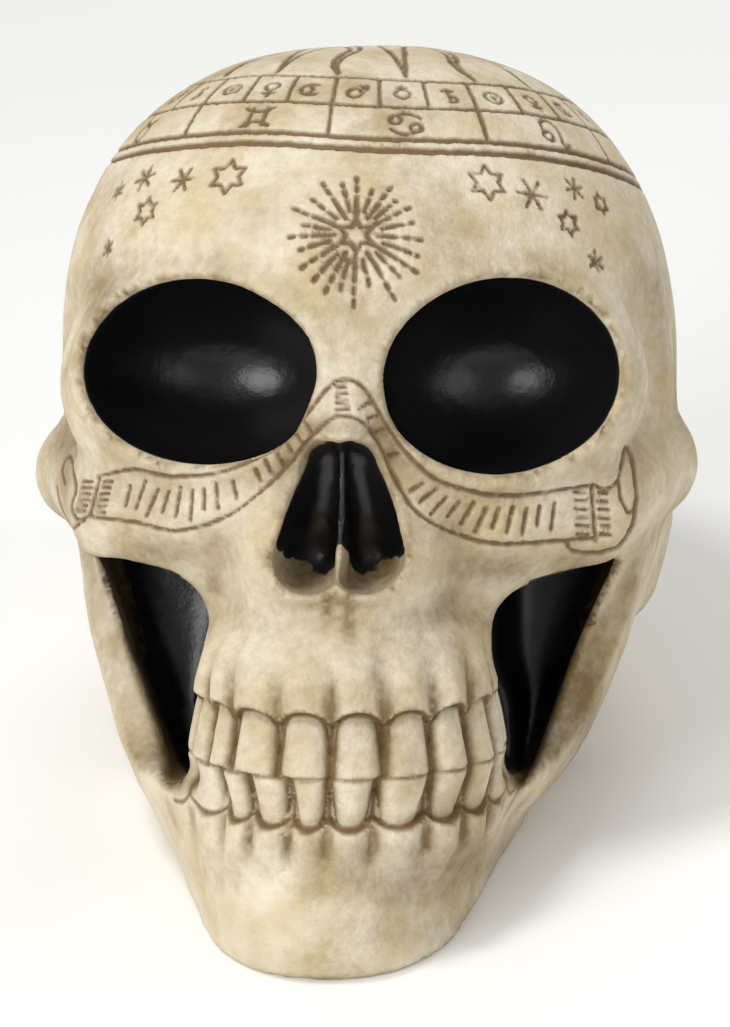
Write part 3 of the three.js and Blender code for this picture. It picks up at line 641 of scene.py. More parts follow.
def joined(points):
    """Strokes along a row of points."""
    return [(*a, *b) for a, b in zip(points[:-1], points[1:])]


def rounded(points, steps=5):
    """More points along a smooth curve through a few."""
    p = np.array(points, float)
    p = np.concatenate([[2 * p[0] - p[1]], p, [2 * p[-1] - p[-2]]])
    out = []
    for a, b, c, d in zip(p[:-3], p[1:-2], p[2:-1], p[3:]):
        for t in np.arange(steps) / steps:
            out.append(0.5 * (2 * b + (c - a) * t + (2 * a - 5 * b + 4 * c - d) * t ** 2
                              + (3 * b - a - 3 * c + d) * t ** 3))
    out.append(p[-2])
    return [tuple(q) for q in out]


# Signs of the zodiac and of the planets, as strokes in a square of half side 1 (see stroke_way)
CIRCLE = (0, 360)
TWO_ARCHES = [(-0.75, 0.6, -0.75, -0.5), (-0.45, 0.3, 0.28, 0, 180), (-0.17, 0.3, -0.17, -0.5),
              (0.1, 0.3, 0.28, 0, 180)]
SIGNS = (
    # first four signs of the year
    [(-0.4, 0.35, 0.4, 0, 200), (0.4, 0.35, 0.4, -20, 180), (0, 0.3, 0, -0.8)],
    [(0, -0.3, 0.5, *CIRCLE), (0, 0.75, 0.55, 190, 350)],
    [(-0.35, -0.6, -0.35, 0.6), (0.35, -0.6, 0.35, 0.6), (0, 1.3, 0.95, 225, 315),
     (0, -1.3, 0.95, 45, 135)],
    [(-0.45, 0.25, 0.25, *CIRCLE), (0.45, -0.25, 0.25, *CIRCLE), (0, -0.2, 0.85, 40, 140),
     (0, 0.2, 0.85, 220, 320)],
    # middle four
    [(-0.4, -0.2, 0.28, *CIRCLE), (0, 0.3, 0.5, -20, 200), (0.5, 0.15, 0.3, -0.6),
     (0.5, -0.6, 0.2, 180, 350)],
    TWO_ARCHES + [(0.38, 0.3, 0.38, -0.7), (0.5, -0.1, 0.3, -90, 120)],
    [(-0.7, -0.5, 0.7, -0.5), (-0.7, -0.15, -0.3, -0.15), (0.7, -0.15, 0.3, -0.15),
     (0, 0.15, 0.42, -45, 225)],
    TWO_ARCHES + [(0.38, 0.3, 0.38, -0.5), (0.38, -0.5, 0.85, -0.6), (0.85, -0.6, 0.65, -0.3)],
    # last four
    [(-0.6, -0.6, 0.6, 0.6), (0.6, 0.6, 0.1, 0.6), (0.6, 0.6, 0.6, 0.1), (-0.45, 0.05, 0.05, -0.45)],
    [(-0.7, 0.5, -0.4, -0.3), (-0.4, -0.3, -0.1, 0.5), (0.1, 0.3, 0.22, 0, 180), (0.32, 0.3, 0.32, -0.4),
     (0.5, -0.25, 0.25, *CIRCLE)],
    joined([(-0.8, 0.1), (-0.45, 0.45), (-0.2, 0.1), (0.15, 0.45), (0.4, 0.1), (0.8, 0.45)])
    + joined([(-0.8, -0.45), (-0.45, -0.1), (-0.2, -0.45), (0.15, -0.1), (0.4, -0.45), (0.8, -0.1)]),
    [(-0.9, 0, 0.65, -60, 60), (0.9, 0, 0.65, 120, 240), (-0.5, 0, 0.5, 0)],
)
PLANETS = (
    [(0, 0, 0.55, *CIRCLE), (0, 0, 0.08, *CIRCLE)],
    [(0, 0.25, 0.4, *CIRCLE), (0, -0.15, 0, -0.85), (-0.35, -0.5, 0.35, -0.5)],
    [(-0.1, 0, 0.6, 50, 310), (-0.45, 0, 0.45, -50, 50)],
    [(-0.1, -0.15, 0.42, *CIRCLE), (0.2, 0.15, 0.6, 0.6), (0.6, 0.6, 0.2, 0.6), (0.6, 0.6, 0.6, 0.2)],
    [(0, 0, 0.45, *CIRCLE), (0, 0.45, 0, 0.85), (-0.25, 0.65, 0.25, 0.65)],
    [(-0.3, 0.5, 0.3, 0.5), (0, 0.7, 0, -0.3), (0.1, -0.35, 0.32, -120, 90)],
)


def spokes(count, inner, outer, first=0.0):
    """Short straight strokes round a middle."""
    out = []
    for i in range(count):
        a = math.radians(first + 360 * i / count)
        out.append((inner * math.cos(a), inner * math.sin(a), outer * math.cos(a), outer * math.sin(a)))
    return out


def star_outline(points, outer, inner):
    """Closed outline of a star with its first point upward."""
    corners = []
    for i in range(2 * points + 1):
        a = math.radians(90 + 180 * i / points)
        r = inner if i % 2 else outer
        corners.append((r * math.cos(a), r * math.sin(a)))
    return joined(corners)


def burst_strokes():
    """A small star with long and short rays round it, each ray a row of dashes."""
    out = star_outline(6, 0.24, 0.13)
    for i in range(BURST_RAYS):
        angle = 90 + 360 * i / BURST_RAYS + 2.0 * math.sin(i * 5.1)
        reach = (1.0 if i % 2 == 0 else 0.78) + 0.06 * math.sin(i * 2.3)
        solid = 0.58 + 0.07 * math.sin(i * 3.7)
        dashes = [(0.28 + 0.08 * (i % 2), solid), (solid + 0.09, solid + 0.16), (solid + 0.25, solid + 0.31)]
        if i == 0:
            dashes.append((1.08, 1.14))
        for a, b in dashes:
            if a < reach:
                out += spokes(1, a, min(b, reach), angle)
    return out


def first_zero(field, at, low, high, halvings=30):
    """Bisects for the place along at(t) where the field turns from outside (at low) to inside."""
    a = np.full(len(at(0.0)), float(low))
    b = np.full(len(a), float(high))
    for _ in range(halvings):
        t = (a + b) / 2
        outside = field(at(t).astype(F)) > 0
        a = np.where(outside, t, a)
        b = np.where(outside, b, t)
    return at((a + b) / 2)


def skin(p):
    return skull_forms(p)[1]


def on_front(places):
    """Points of the skin at given x and z, on the side that faces the viewer."""
    xz = np.array(places, float)

    def at(t):
        return np.stack([xz[:, 0], np.broadcast_to(t, len(xz)), xz[:, 1]], 1)
    points = first_zero(skin, at, -88, -28)
    return points, gradient(skin, points.astype(F))


def on_crown(angles, height):
    """Points of the dome at given angles from the front, at one height."""
    a = np.radians(np.array(angles, float))

    def at(t):
        x = t * np.sin(a)
        return np.stack([x, -t * np.cos(a), height - crown_height(x, 0)], 1)
    points = first_zero(skin, at, 90, 0)
    return points, gradient(skin, points.astype(F))


def crown_height(x, z):
    """Height counted along the wheel, which sits a little lower on the viewer's right."""
    return z + RING_FALL * x + RING_WAVER * np.sin(x * 0.13 + 0.6) + RING_DROOP * (x / 50) ** 4


def crowded(angle):
    """Angle of a cell's edge, drawn together at the front and the back of the dome."""
    a = np.radians(angle)
    return np.degrees(a - CELL_CROWDING * np.sin(2 * a))


def evened(angle):
    """Undoes crowded()."""
    a = np.radians(angle)
    even = a
    for _ in range(5):
        even = a + CELL_CROWDING * np.sin(2 * even)
    return np.degrees(even)


def crown_lines(cut):
    """Rings round the dome, the cells between them with their signs, and the sun inside."""
    x, y, z = cut.p.T
    high = crown_height(x, z)
    level = np.maximum(np.sqrt(np.clip(1 - cut.n[:, 2] ** 2, 0, 1)), 0.25)
    where = np.nonzero(high > RING_WIDE_Z - 6)[0]
    for height, width, depth in RINGS:
        cut.line(where, (high[where] - height) / level[where], width, depth)
    around = np.hypot(x, y)
    angle = np.degrees(np.arctan2(x, -y))
    even = evened(angle)
    for cells, low, top, forms, size in (
            (SIGN_CELLS, RING_THIN_Z, SIGN_RING_Z, SIGNS, SIGN_SIZE),
            (PLANET_CELLS, SIGN_RING_Z, PLANET_RING_Z, PLANETS, PLANET_SIZE)):
        step = 360 / cells
        off = (even - FIRST_CELL_ANGLE + step / 2) % step - step / 2
        where = np.nonzero((high > low) & (high < top))[0]
        cut.line(where, np.radians(off[where]) * around[where], 0.9, 0.8)
        middles = crowded(FIRST_CELL_ANGLE + step / 2 + step * np.arange(cells))
        points, normals = on_crown(middles, (low + top) / 2)
        for i, (point, normal) in enumerate(zip(points, normals)):
            cut.motif(point, normal, (0, 0, 1), size, forms[(i + 3) % len(forms)], 0.75, 0.85)
    sun_lines(cut, high)


def sun_lines(cut, high):
    """Straight and waving rays from a small disc at the top out to the innermost ring."""
    x, y = cut.p[:, 0], cut.p[:, 1]
    where = np.nonzero(high > PLANET_RING_Z + 0.3)[0]
    if len(where) == 0:
        return
    step = 360 / SUN_RAYS
    rim = on_crown(crowded(FIRST_CELL_ANGLE + np.arange(SUN_RAYS) * step), PLANET_RING_Z)[0]
    strokes = [(0, 0, SUN_DISC, *CIRCLE), (0, 0, SUN_DISC - 1.8, *CIRCLE), (0, 0, 2.5, *CIRCLE)]
    strokes += spokes(12, 3.6, SUN_DISC - 2.8)
    for i in range(SUN_RAYS):
        end = rim[i][:2]
        reach = np.linalg.norm(end)
        along = end / reach
        side = np.array([-along[1], along[0]])
        start, reach = SUN_DISC + 1.0, reach - 1.2
        if i % 2:
            for hand in (-1, 1):
                a = along * start + side * hand * 1.1
                b = along * (start + (reach - start) * 0.35) + side * hand * 2.6
                strokes += [(*a, *b), (*b, *(along * reach))]
        else:
            for hand in (-1, 1):
                wave = []
                for t in np.linspace(0, 1, 13):
                    sway = 1.3 * math.sin(t * 4 * math.pi) * (0.4 + 0.6 * t)
                    wide = hand * 1.6 * (1 - t) ** 0.6
                    wave.append(tuple(along * (start + (reach - start) * t) + side * (sway + wide)))
                strokes += joined(wave)
    cut.line(where, stroke_way(x[where], y[where], strokes), 0.9, 0.8)


def brow_lines(cut):
    """Sunburst and stars on the forehead."""
    places = [BURST] + list(STARS) + list(ASTERISKS)
    points, normals = on_front([(x, z) for x, z, size in places])
    for i, (x, z, size) in enumerate(places):
        if i == 0:
            strokes, width, depth = burst_strokes(), 0.86, 1.0
        elif i <= len(STARS):
            strokes, width, depth = star_outline(6, 1.0, 0.55), 0.62, 0.8
        else:
            strokes, width, depth = spokes(6, 0.08, 1.0, 20 + 17 * i), 0.62, 0.9
        cut.motif(points[i], normals[i], (0, 0, 1), size, strokes, width, depth)


def banner_lines(cut):
    """Ribbon over the cheeks and the bridge of the nose, its folds, fringe and rows of strokes."""
    x, y, z = cut.p.T
    where = np.nonzero((y < -30) & (z < 20) & (z > -18) & (cut.n[:, 1] < -0.05))[0]
    if len(where) == 0:
        return
    top, foot = rounded(BANNER_TOP), rounded(BANNER_FOOT)
    edges = joined(top) + joined(foot)
    slope = surface_slope(cut, where)
    for strokes, width, depth in ((edges, 0.75, 0.85), (banner_marks(top, foot), 0.75, 0.75),
                                  (banner_ends(), 0.7, 0.75)):
        cut.line(where, stroke_way(x[where], z[where], strokes) / slope, width, depth)


def place_at(t, run, row):
    """Point of a row at the way t along it."""
    return np.array([np.interp(t, run, row[:, k]) for k in (0, 1)])


def banner_marks(top, foot):
    """Rows of leaning strokes along the ribbon, in groups with a rest between them."""
    a, b = np.array(top), np.array(foot)
    middle = (a + b) / 2
    run = np.concatenate([[0], np.cumsum(length_of(np.diff(middle, axis=0)))])
    out = []
    for first, last in MARK_GROUPS:
        count = int((last - first) / MARK_STEP)
        for i in range(count + 1):
            at = first + i * MARK_STEP
            before, centre, after = (place_at(t, run, middle) for t in (at - 1.5, at, at + 1.5))
            edge = place_at(at, run, a - b)
            along = (after - before) / np.linalg.norm(after - before)
            square = np.array([-along[1], along[0]])
            wide = abs(edge @ square)
            stroke = (square + 0.25 * along) * wide * (0.27 if i % 3 else 0.20)
            centre = centre + square * wide * 0.05 * math.sin(i * 2.2)
            out.append((*(centre + stroke), *(centre - stroke)))
    return out


def surface_slope(cut, where):
    """How much a line drawn from the front widens on the side faces."""
    return np.clip(np.sqrt(np.clip(1 - cut.n[where, 0] ** 2, 0, 1)), 0.8, 1)


def banner_ends():
    """Turned-over ends of the ribbon with their fringes and curls, and the fold on the bridge."""
    out = []
    for (x0, z0), (x1, z1) in RIBBON_FOLDS:
        out.append((x0, z0, x1, z1))
        for i in range(6):
            t = (i + 0.7) / 6.4
            x, z = x0 + (x1 - x0) * t, z0 + (z1 - z0) * t
            out += [(x - 2.9, z + 0.1, x - 1.1, z), (x + 1.0, z, x + 2.5, z - 0.1)]
    for i in range(4):
        out.append((-0.3, 10.2 + i * 1.2, 1.7 - 0.2 * i, 10.5 + i * 1.2))
    for curl in RIBBON_CURLS:
        out += joined(rounded(curl, 3))
    return out


def engrave(points, normals, width, depth):
    cut = Engraving(points, normals, width, depth)
    crown_lines(cut)
    brow_lines(cut)
    banner_lines(cut)
    return cut


# The finished mesh and its paint

# Depth under the skin where the black paint begins, brushed; depth where the painted shade on the outer walls
# of the cheek windows turns black; and how far back beside the teeth
PAINT_DEPTH = 1.6
SHADE_FADE_DEPTH = 7.0
PAINT_BESIDE_TEETH_Y = -46.5

PLAIN_EDGE = 3.4
SPLIT_ROUNDS = (1.3, 0.8, 0.6, 0.5)

# Heights over the foot between which the lines and the unevenness fade in, so that it stays flat
FOOT_CALM = (0.3, 1.5)

# Heights of the slow and the quick unevenness of the surface
SLOW_WAVES = 0.10
QUICK_WAVES = 0.05

# Half widths of the brown lines at the gums and the bite
GUM_LINE = 0.42
BITE_LINE = 0.2

# Brown stains on the front, as (x, z, half width, half height, strength); under 0 they take wash away:
# painted light on the left jaw, the chin and the left temple
STAINS_AND_PAINTED_LIGHT = (
    (-22.7, -18.7, 1.6, 2.0, 0.6), (-2.3, -23.3, 1.0, 2.4, 0.7), (1.4, -24.8, 1.1, 3.4, 0.75),
    (-0.6, -20.6, 3.6, 1.2, 0.35), (5.8, -33.0, 1.6, 2.6, 0.4), (16.0, -9.5, 5.0, 2.5, 0.25),
    (-20.5, 31.5, 2.0, 6.0, 0.25), (27.0, -16.0, 6.0, 3.0, 0.3), (-33.0, -13.5, 7.0, 2.5, 0.2),
    (1.5, 26.0, 3.0, 4.0, 0.25), (-9.0, 20.0, 2.2, 6.0, 0.25), (12.5, 15.0, 2.0, 6.0, 0.2),
    (24.0, -15.6, 8.0, 3.0, 0.4), (-28.0, -13.0, 8.0, 3.0, 0.4), (39.0, -43.0, 5.0, 14.0, 0.5),
    (26.0, -66.0, 7.0, 6.0, 0.4), (52.0, 30.0, 5.0, 12.0, 0.3), (-52.0, 12.0, 3.0, 9.0, 0.3),
    (14.0, -76.0, 6.0, 4.0, 0.2), (-13.0, 42.0, 5.0, 3.0, 0.2),
    (-43.0, 33.0, 3.0, 5.0, 0.3), (20.0, 40.0, 6.0, 2.5, 0.2), (0.0, -62.5, 16.0, 2.2, 0.25),
    (2.0, -32.0, 22.0, 11.0, 0.16), (2.0, -45.0, 24.0, 7.0, 0.12), (-46.0, -6.0, 6.0, 5.0, 0.22),
    (-6.0, -74.0, 17.0, 9.0, -0.35), (-40.0, -52.0, 8.0, 17.0, -0.30), (-50.0, 36.0, 9.0, 16.0, -0.12),
)


def teeth_lines(p):
    """Ways to the gum line and the bite, place across the tooth, and a weight, 1 on the teeth."""
    q = upright(p)
    angle, z, wall = arch_place(q)
    over_upper, u_upper = upper_relief(angle, z)[1:]
    over_lower, u_lower = lower_relief(angle, z)[1:]
    upper = z > BITE_Z
    over = np.where(upper, over_upper, over_lower)
    u = np.where(upper, u_upper, u_lower)
    near = smooth_step(7, 4, np.abs(wall)) * smooth_step(-28, -38, q[:, 1])
    return over, z - BITE_Z, u, near


def wanted_length(p, fine, plain):
    """Longest edge wanted at points near the surface: short at lines, teeth and paint edges."""
    normals = unit(gradient(skull, p))
    inside = engrave(p, normals, 1.0, 1.0).inside
    coarser = 1 + 0.5 * smooth_step(-5, 20, p[:, 1])
    out = fine * coarser + 0.9 * np.maximum(-inside - 0.15, 0)
    skin_value, cheek = skull_forms(p)[1:]
    out = np.minimum(out, 0.95 + 0.8 * np.abs(skin_value + PAINT_DEPTH))
    out = np.where(p[:, 1] > -46, np.minimum(out, 1.4 + 0.8 * np.abs(cheek - 0.9)), out)
    over, bite, u, near = teeth_lines(p)
    line = np.minimum(np.abs(over), np.abs(bite))
    tooth = np.minimum(0.6 + 0.5 * line, np.where(over < 0, 1.5 - 0.75 * u, 2.0))
    out = np.where((near > 0.5) & (over < 6), np.minimum(out, tooth), out)
    wall = (np.abs(p[:, 0]) < 1.6) & (np.abs(p[:, 2] + 7) < 13) & (p[:, 1] < -62)
    out = np.where(wall, np.minimum(out, 0.7), out)
    return np.minimum(out, plain)


def shaped_mesh(cell, fine):
    """Vertices, faces and outward directions of the skull before the engraving is cut."""
    verts, faces = surface_of(skull, cell)
    verts = settle(skull, verts, 3, cell / 4)
    for reach in SPLIT_ROUNDS:
        limit = max(reach, fine)
        verts, faces = split_long(
            verts, faces,
            lambda p, limit=limit: np.maximum(wanted_length(p, fine, PLAIN_EDGE), limit),
            lambda p: settle(skull, p, 2, 0.3))
    return unfolded(verts, faces)


def unfolded(verts, faces, rounds=6):
    """Draws the corners of folded-over faces to the middle of their neighbours, back on the surface."""
    normals = unit(gradient(skull, verts))
    for _ in range(rounds):
        a, b, c = (verts[faces[:, k]] for k in range(3))
        across = np.cross(b - a, c - a)
        facing = np.sum(across * normals[faces].mean(1), 1) / np.maximum(length_of(across), 1e-9)
        folded = np.zeros(len(verts), bool)
        folded[faces[facing < 0.35]] = True
        touched = faces[folded[faces].any(1)]
        total = np.zeros_like(verts)
        count = np.zeros(len(verts), F)
        for k in range(3):
            for other in (1, 2):
                np.add.at(total, touched[:, k], verts[touched[:, (k + other) % 3]])
                np.add.at(count, touched[:, k], 1)
        at = np.nonzero(folded)[0]
        middle = total[at] / np.maximum(count[at], 1)[:, None]
        verts[at] = settle(skull, (verts[at] + 2 * middle) / 3, 1, 0.15)
        normals[at] = unit(gradient(skull, verts[at]))
    return verts, faces, normals


def hand_made(p):
    """Low unevenness of a hand-modelled surface, in mm."""
    x, y, z = p.T
    slow = np.sin(x * 0.21 + 1.3 * np.sin(z * 0.13)) * np.sin(y * 0.19 + z * 0.17)
    quick = np.sin(x * 0.83 + z * 0.4) * np.sin(z * 0.77 - y * 0.61 + 0.9) * np.sin(y * 0.7 + x * 0.2)
    return SLOW_WAVES * slow + QUICK_WAVES * quick


def openness(p, normals, reach):
    """How much of the space in front of a point is filled: 0 in the open, up to 1 in a fold."""
    ahead = in_parts(skull, (p + normals * F(reach)).astype(F))
    return np.clip(1 - ahead / reach, 0, 1)


def painting(p, normals, cut):
    """What the brushes left at each point: ways in mm past the edges of the engraved lines, the lines round
    the teeth and the black paint, and the share of wash, which also holds painted shade on the outer walls of
    the cheek windows and painted light on the left jaw, the chin and the left temple."""
    x, y, z = p.T
    over, bite, u, near = teeth_lines(p)
    gum = GUM_LINE - np.abs(over)
    gap = np.where(over < 0, (u - 0.91) * 6, -1)
    teeth = np.maximum(np.maximum(gum, BITE_LINE - np.abs(bite)), gap) - 3 * (1 - near)

    roots = smooth_step(0.5, 0.95, u) * smooth_step(0.0, 1.6, over) * smooth_step(9, 3, over)
    sides = smooth_step(0.55, 1.0, u) * smooth_step(0.4, -0.4, over)
    wash_and_painted_shade = 0
    for reach, weight in ((1.2, 0.60), (4.0, 0.50), (11.0, 0.35)):
        wash_and_painted_shade = wash_and_painted_shade + weight * openness(p, normals, reach)
    wash_and_painted_shade = wash_and_painted_shade + near * (0.55 * roots + 0.45 * sides)
    front = smooth_step(0, -15, y)
    # stains, and painted light where the strength is under 0
    for sx, sz, wide, tall, strength in STAINS_AND_PAINTED_LIGHT:
        wash_and_painted_shade = wash_and_painted_shade + front * strength * np.exp(-((x - sx) / wide) ** 2 - ((z - sz) / tall) ** 2)

    # on the outer walls of the cheek windows the brown deepens from the rim and the black starts deeper,
    # fading in slowly: painted shade under the cheek bones
    skin_value, cheek = skull_forms(p)[1:]
    outer = smooth_step(-4.5, -1.5, outer_wall(upright(p))) * smooth_step(3, 1.5, np.abs(cheek))
    septum = smooth_step(2.4, 1.4, np.abs(x)) * smooth_step(-17.5, -15.0, z) * smooth_step(8, 6, z)
    sunk = -skin_value - PAINT_DEPTH + 0.9 * septum * smooth_step(-58, -62, y)
    shade_fade = (-skin_value - SHADE_FADE_DEPTH) / 12
    # beside the teeth the black begins along one line behind their widest place
    beside = smooth_step(29.5, 27, np.abs(x - ARCH_X)) * smooth_step(-11, -15, z) * smooth_step(-60, -56, z)
    behind = (0.9 - cheek) * (1 - beside) + np.minimum(y - PAINT_BESIDE_TEETH_Y, 4.5 - cheek) * beside
    black = np.maximum(sunk - 8 * beside, behind) * (1 - outer) + shade_fade * outer
    # brown band on the outer walls before the black: painted shade
    wash_and_painted_shade = wash_and_painted_shade + outer * smooth_step(0.5, SHADE_FADE_DEPTH, -skin_value)
    return {
        "groove": np.clip(cut.inside, -1, 1),
        "teeth": np.clip(teeth, -1, 1),
        "wash_and_painted_shade": np.clip(wash_and_painted_shade, -0.5, 1),
        "black": np.clip(black, -2, 2),
    }


def stand(p):
    """Upright place in mm to the place on the foot, in metres."""
    t = math.radians(FOOT_TILT)
    y, z = p[:, 1] - CHIN_Y, p[:, 2] - CHIN_Z
    back = y * math.cos(t) + z * math.sin(t) - PLAN_MIDDLE[1]
    return np.stack([p[:, 0] - PLAN_MIDDLE[0], back, np.maximum(foot_height(p), 0)], 1) * MM


# Materials

def add(nodes, kind, settings=None, links=None):
    """Adds a node, sets its properties and inputs, and links inputs given as (node, output)."""
    node = nodes.new(kind)
    for key, value in (settings or {}).items():
        if isinstance(key, str) and hasattr(node, key):
            setattr(node, key, value)
        else:
            node.inputs[key].default_value = value
    for key, (source, output) in (links or {}).items():
        node.id_data.links.new(source.outputs[output], node.inputs[key])
    return node


# Sockets of a Mix node that mixes colours: the factor, the two colours, and the result
FACTOR = 0
FIRST = 6
SECOND = 7
MIXED = 2


def hand_painted_resin(colours):
    """Cast polyresin painted bone colour by hand. A thin brown wash was wiped over it, so it stays in the
    grooves and folds and leaves the high places pale. The recesses were brushed satin black. The brown and
    the black also paint shade on the outer walls of the cheek windows, and the wash is thinned for painted
    light on the left jaw, the chin and the left temple."""
    material = bpy.data.materials.new("hand_painted_cast_resin")
    material.use_nodes = True
    nodes = material.node_tree.nodes
    shader = nodes["Principled BSDF"]
    shader.inputs["IOR"].default_value = 1.5
    here = {"Vector": (add(nodes, "ShaderNodeTexCoord"), "Object")}
    groove, teeth, wash_and_painted_shade, black = (
        (add(nodes, "ShaderNodeAttribute", {"attribute_name": name}), "Fac")
        for name in ("groove", "teeth", "wash_and_painted_shade", "black"))

    # cloudy unevenness of the wipe, about 12 mm across, and finer mottling of about 2 mm
    cloud = add(nodes, "ShaderNodeTexNoise", {"Scale": 80.0, "Detail": 4.0, "Roughness": 0.6}, here)
    mottle = add(nodes, "ShaderNodeTexNoise", {"Scale": 520.0, "Detail": 5.0, "Roughness": 0.65}, here)
    amount = add(nodes, "ShaderNodeMapRange", {"From Min": 0.36, "From Max": 0.64}, {"Value": (cloud, "Fac")})
    base = add(nodes, "ShaderNodeMix",
               {"data_type": "RGBA", FIRST: linear(colours.bone_pale), SECOND: linear(colours.bone_warm)},
               {FACTOR: (amount, "Result")})

    # wash: more of it where the surface folds in and in patches of about 25 mm, broken up by the mottling;
    # the wash attribute also holds painted shade on the outer walls of the cheek windows and painted light on
    # the left jaw, the chin and the left temple
    broken = add(nodes, "ShaderNodeMath", {"operation": "MULTIPLY_ADD", 1: 0.75, 2: -0.33},
                 {0: (mottle, "Fac")})
    patch = add(nodes, "ShaderNodeTexNoise", {"Scale": 38.0, "Detail": 5.0, "Roughness": 0.65}, here)
    dirt = add(nodes, "ShaderNodeMapRange", {"From Min": 0.50, "From Max": 0.78, "To Max": 0.55},
               {"Value": (patch, "Fac")})
    patched_wash_and_shade = add(nodes, "ShaderNodeMath", {"operation": "ADD"}, {0: wash_and_painted_shade, 1: (dirt, "Result")})
    gathered = add(nodes, "ShaderNodeMath", {"operation": "ADD", "use_clamp": True},
                   {0: (patched_wash_and_shade, 0), 1: (broken, 0)})
    lined = add(nodes, "ShaderNodeMix", {"data_type": "RGBA", SECOND: linear(colours.wash_and_painted_shade)},
                {FACTOR: (gathered, 0), FIRST: (base, MIXED)})

    # engraved lines hold the wash at its strongest, with slightly uneven edges
    for line, low, high, strength in ((groove, -0.26, 0.18, 0.92), (teeth, -0.25, 0.25, 0.85)):
        uneven = add(nodes, "ShaderNodeMath", {"operation": "MULTIPLY_ADD", 1: 0.3, 2: -0.15},
                     {0: (cloud, "Fac")})
        edge = add(nodes, "ShaderNodeMath", {"operation": "ADD"}, {0: line, 1: (uneven, 0)})
        filled = add(nodes, "ShaderNodeMapRange", {"From Min": low, "From Max": high, "To Max": strength},
                     {"Value": (edge, 0)})
        lined = add(nodes, "ShaderNodeMix", {"data_type": "RGBA", SECOND: linear(colours.line)},
                    {FACTOR: (filled, "Result"), FIRST: (lined, MIXED)})

    # black paint, with a brushed edge; on the outer walls of the cheek windows it fades in slowly, which is
    # painted shade
    ragged = add(nodes, "ShaderNodeMath", {"operation": "MULTIPLY_ADD", 1: 0.8, 2: -0.4},
                 {0: (mottle, "Fac")})
    edge = add(nodes, "ShaderNodeMath", {"operation": "ADD"}, {0: black, 1: (ragged, 0)})
    covered = add(nodes, "ShaderNodeMapRange", {"From Min": -0.14, "From Max": 0.14}, {"Value": (edge, 0)})
    final = add(nodes, "ShaderNodeMix", {"data_type": "RGBA", SECOND: linear(colours.black)},
                {FACTOR: (covered, "Result"), FIRST: (lined, MIXED)})
    join = material.node_tree.links.new
    join(final.outputs[MIXED], shader.inputs["Base Color"])

    # matt bone, satin black
    gloss = add(nodes, "ShaderNodeMapRange",
                {"From Min": 0.2, "From Max": 1.4, "To Min": 0.62, "To Max": 0.27}, {"Value": black})
    join(gloss.outputs["Result"], shader.inputs["Roughness"])

    # brush marks and casting grain of about half a millimetre, filled in by the black paint
    grain = add(nodes, "ShaderNodeTexNoise", {"Scale": 1600.0, "Detail": 3.0}, here)
    small = add(nodes, "ShaderNodeMapRange", {"To Min": 0.35, "To Max": 0.03}, {"Value": (covered, "Result")})
    large = add(nodes, "ShaderNodeMapRange", {"To Min": 0.50, "To Max": 0.14}, {"Value": (covered, "Result")})
    fine = add(nodes, "ShaderNodeBump", {"Distance": 0.0004},
               {"Strength": (small, "Result"), "Height": (grain, "Fac")})
    coarse = add(nodes, "ShaderNodeBump", {"Distance": 0.0009},
                 {"Strength": (large, "Result"), "Height": (mottle, "Fac"), "Normal": (fine, "Normal")})
    join(coarse.outputs["Normal"], shader.inputs["Normal"])
    return material


def matt_paper(colour):
    """Plain pale backdrop paper, matt, so that it only takes a soft shadow."""
    material = bpy.data.materials.new("backdrop_paper")
    material.use_nodes = True
    shader = material.node_tree.nodes["Principled BSDF"]
    shader.inputs["Base Color"].default_value = linear(colour)
    shader.inputs["Roughness"].default_value = 0.9
    return material


# Settings

class SkullShape(bpy.types.PropertyGroup):
    cell: bpy.props.FloatProperty(
        name="Plain cell", description="Size of the cells of the plain surface, in mm", default=2.1, min=1.0)
    fine: bpy.props.FloatProperty(
        name="Finest edge", description="Shortest edge at the engraved lines, in mm", default=0.77, min=0.2)
    line_width: bpy.props.FloatProperty(
        name="Line width", description="Width of an engraved line, in mm", default=1.0, min=0.2)
    line_depth: bpy.props.FloatProperty(
        name="Line depth", description="Depth of an engraved line, in mm", default=0.55, min=0.0)


class SkullColours(bpy.types.PropertyGroup):
    bone_pale: bpy.props.StringProperty(
        name="Pale bone", description="Bone paint where the wash was wiped off", default="#DBD0B9")
    bone_warm: bpy.props.StringProperty(
        name="Warm bone", description="Bone paint where a little wash stays", default="#C8B690")
    wash_and_painted_shade: bpy.props.StringProperty(
        name="Wash", description="Brown wash in the folds", default="#776038")
    line: bpy.props.StringProperty(
        name="Engraved line", description="Wash at the bottom of a line", default="#694D2A")
    black: bpy.props.StringProperty(
        name="Black", description="Paint of the recesses", default="#131214")
    paper: bpy.props.StringProperty(
        name="Backdrop", description="Floor under the skull", default="#F8F8F6")


class SkullView(bpy.types.PropertyGroup):
    distance: bpy.props.FloatProperty(
        name="Distance", description="Camera to the face, in metres", default=0.6, subtype="DISTANCE")
    side: bpy.props.FloatProperty(
        name="Side", description="Camera's turn to the side of the face", default=math.radians(5.0),
        subtype="ANGLE")
    scale: bpy.props.FloatProperty(
        name="Scale", description="Picture points to a millimetre at the face", default=6.1)
    shift: bpy.props.FloatProperty(
        name="Shift", description="Sideways shift of the picture, in picture points", default=25.0)


PICTURE_HEIGHT = 1027
SENSOR_WIDTH = 24.0
EYE_POINT = (0.0, -72.0, -6.7)
FLOOR_HALF = 3.0
SKY_STRENGTH = 0.42

# Lamps round the skull: place and size in metres, power in watts, all turned to one point. The
# overhead and side lamps are small: their reflections are the soft spots in the satin black
LAMP_TARGET = (0.0, 0.0, 0.06)
LAMPS = {
    "key": ((-0.62, -0.80, 0.52), 0.7, 6.6),
    "fill": ((0.8, -0.8, 0.5), 0.9, 2.0),
    "back": ((0.3, 0.9, 0.9), 0.8, 3.0),
    "overhead": ((-0.30, -0.25, 1.09), 0.28, 4.2),
    "side": ((0.78, -0.06, 0.84), 0.14, 0.9),
}


# Operators

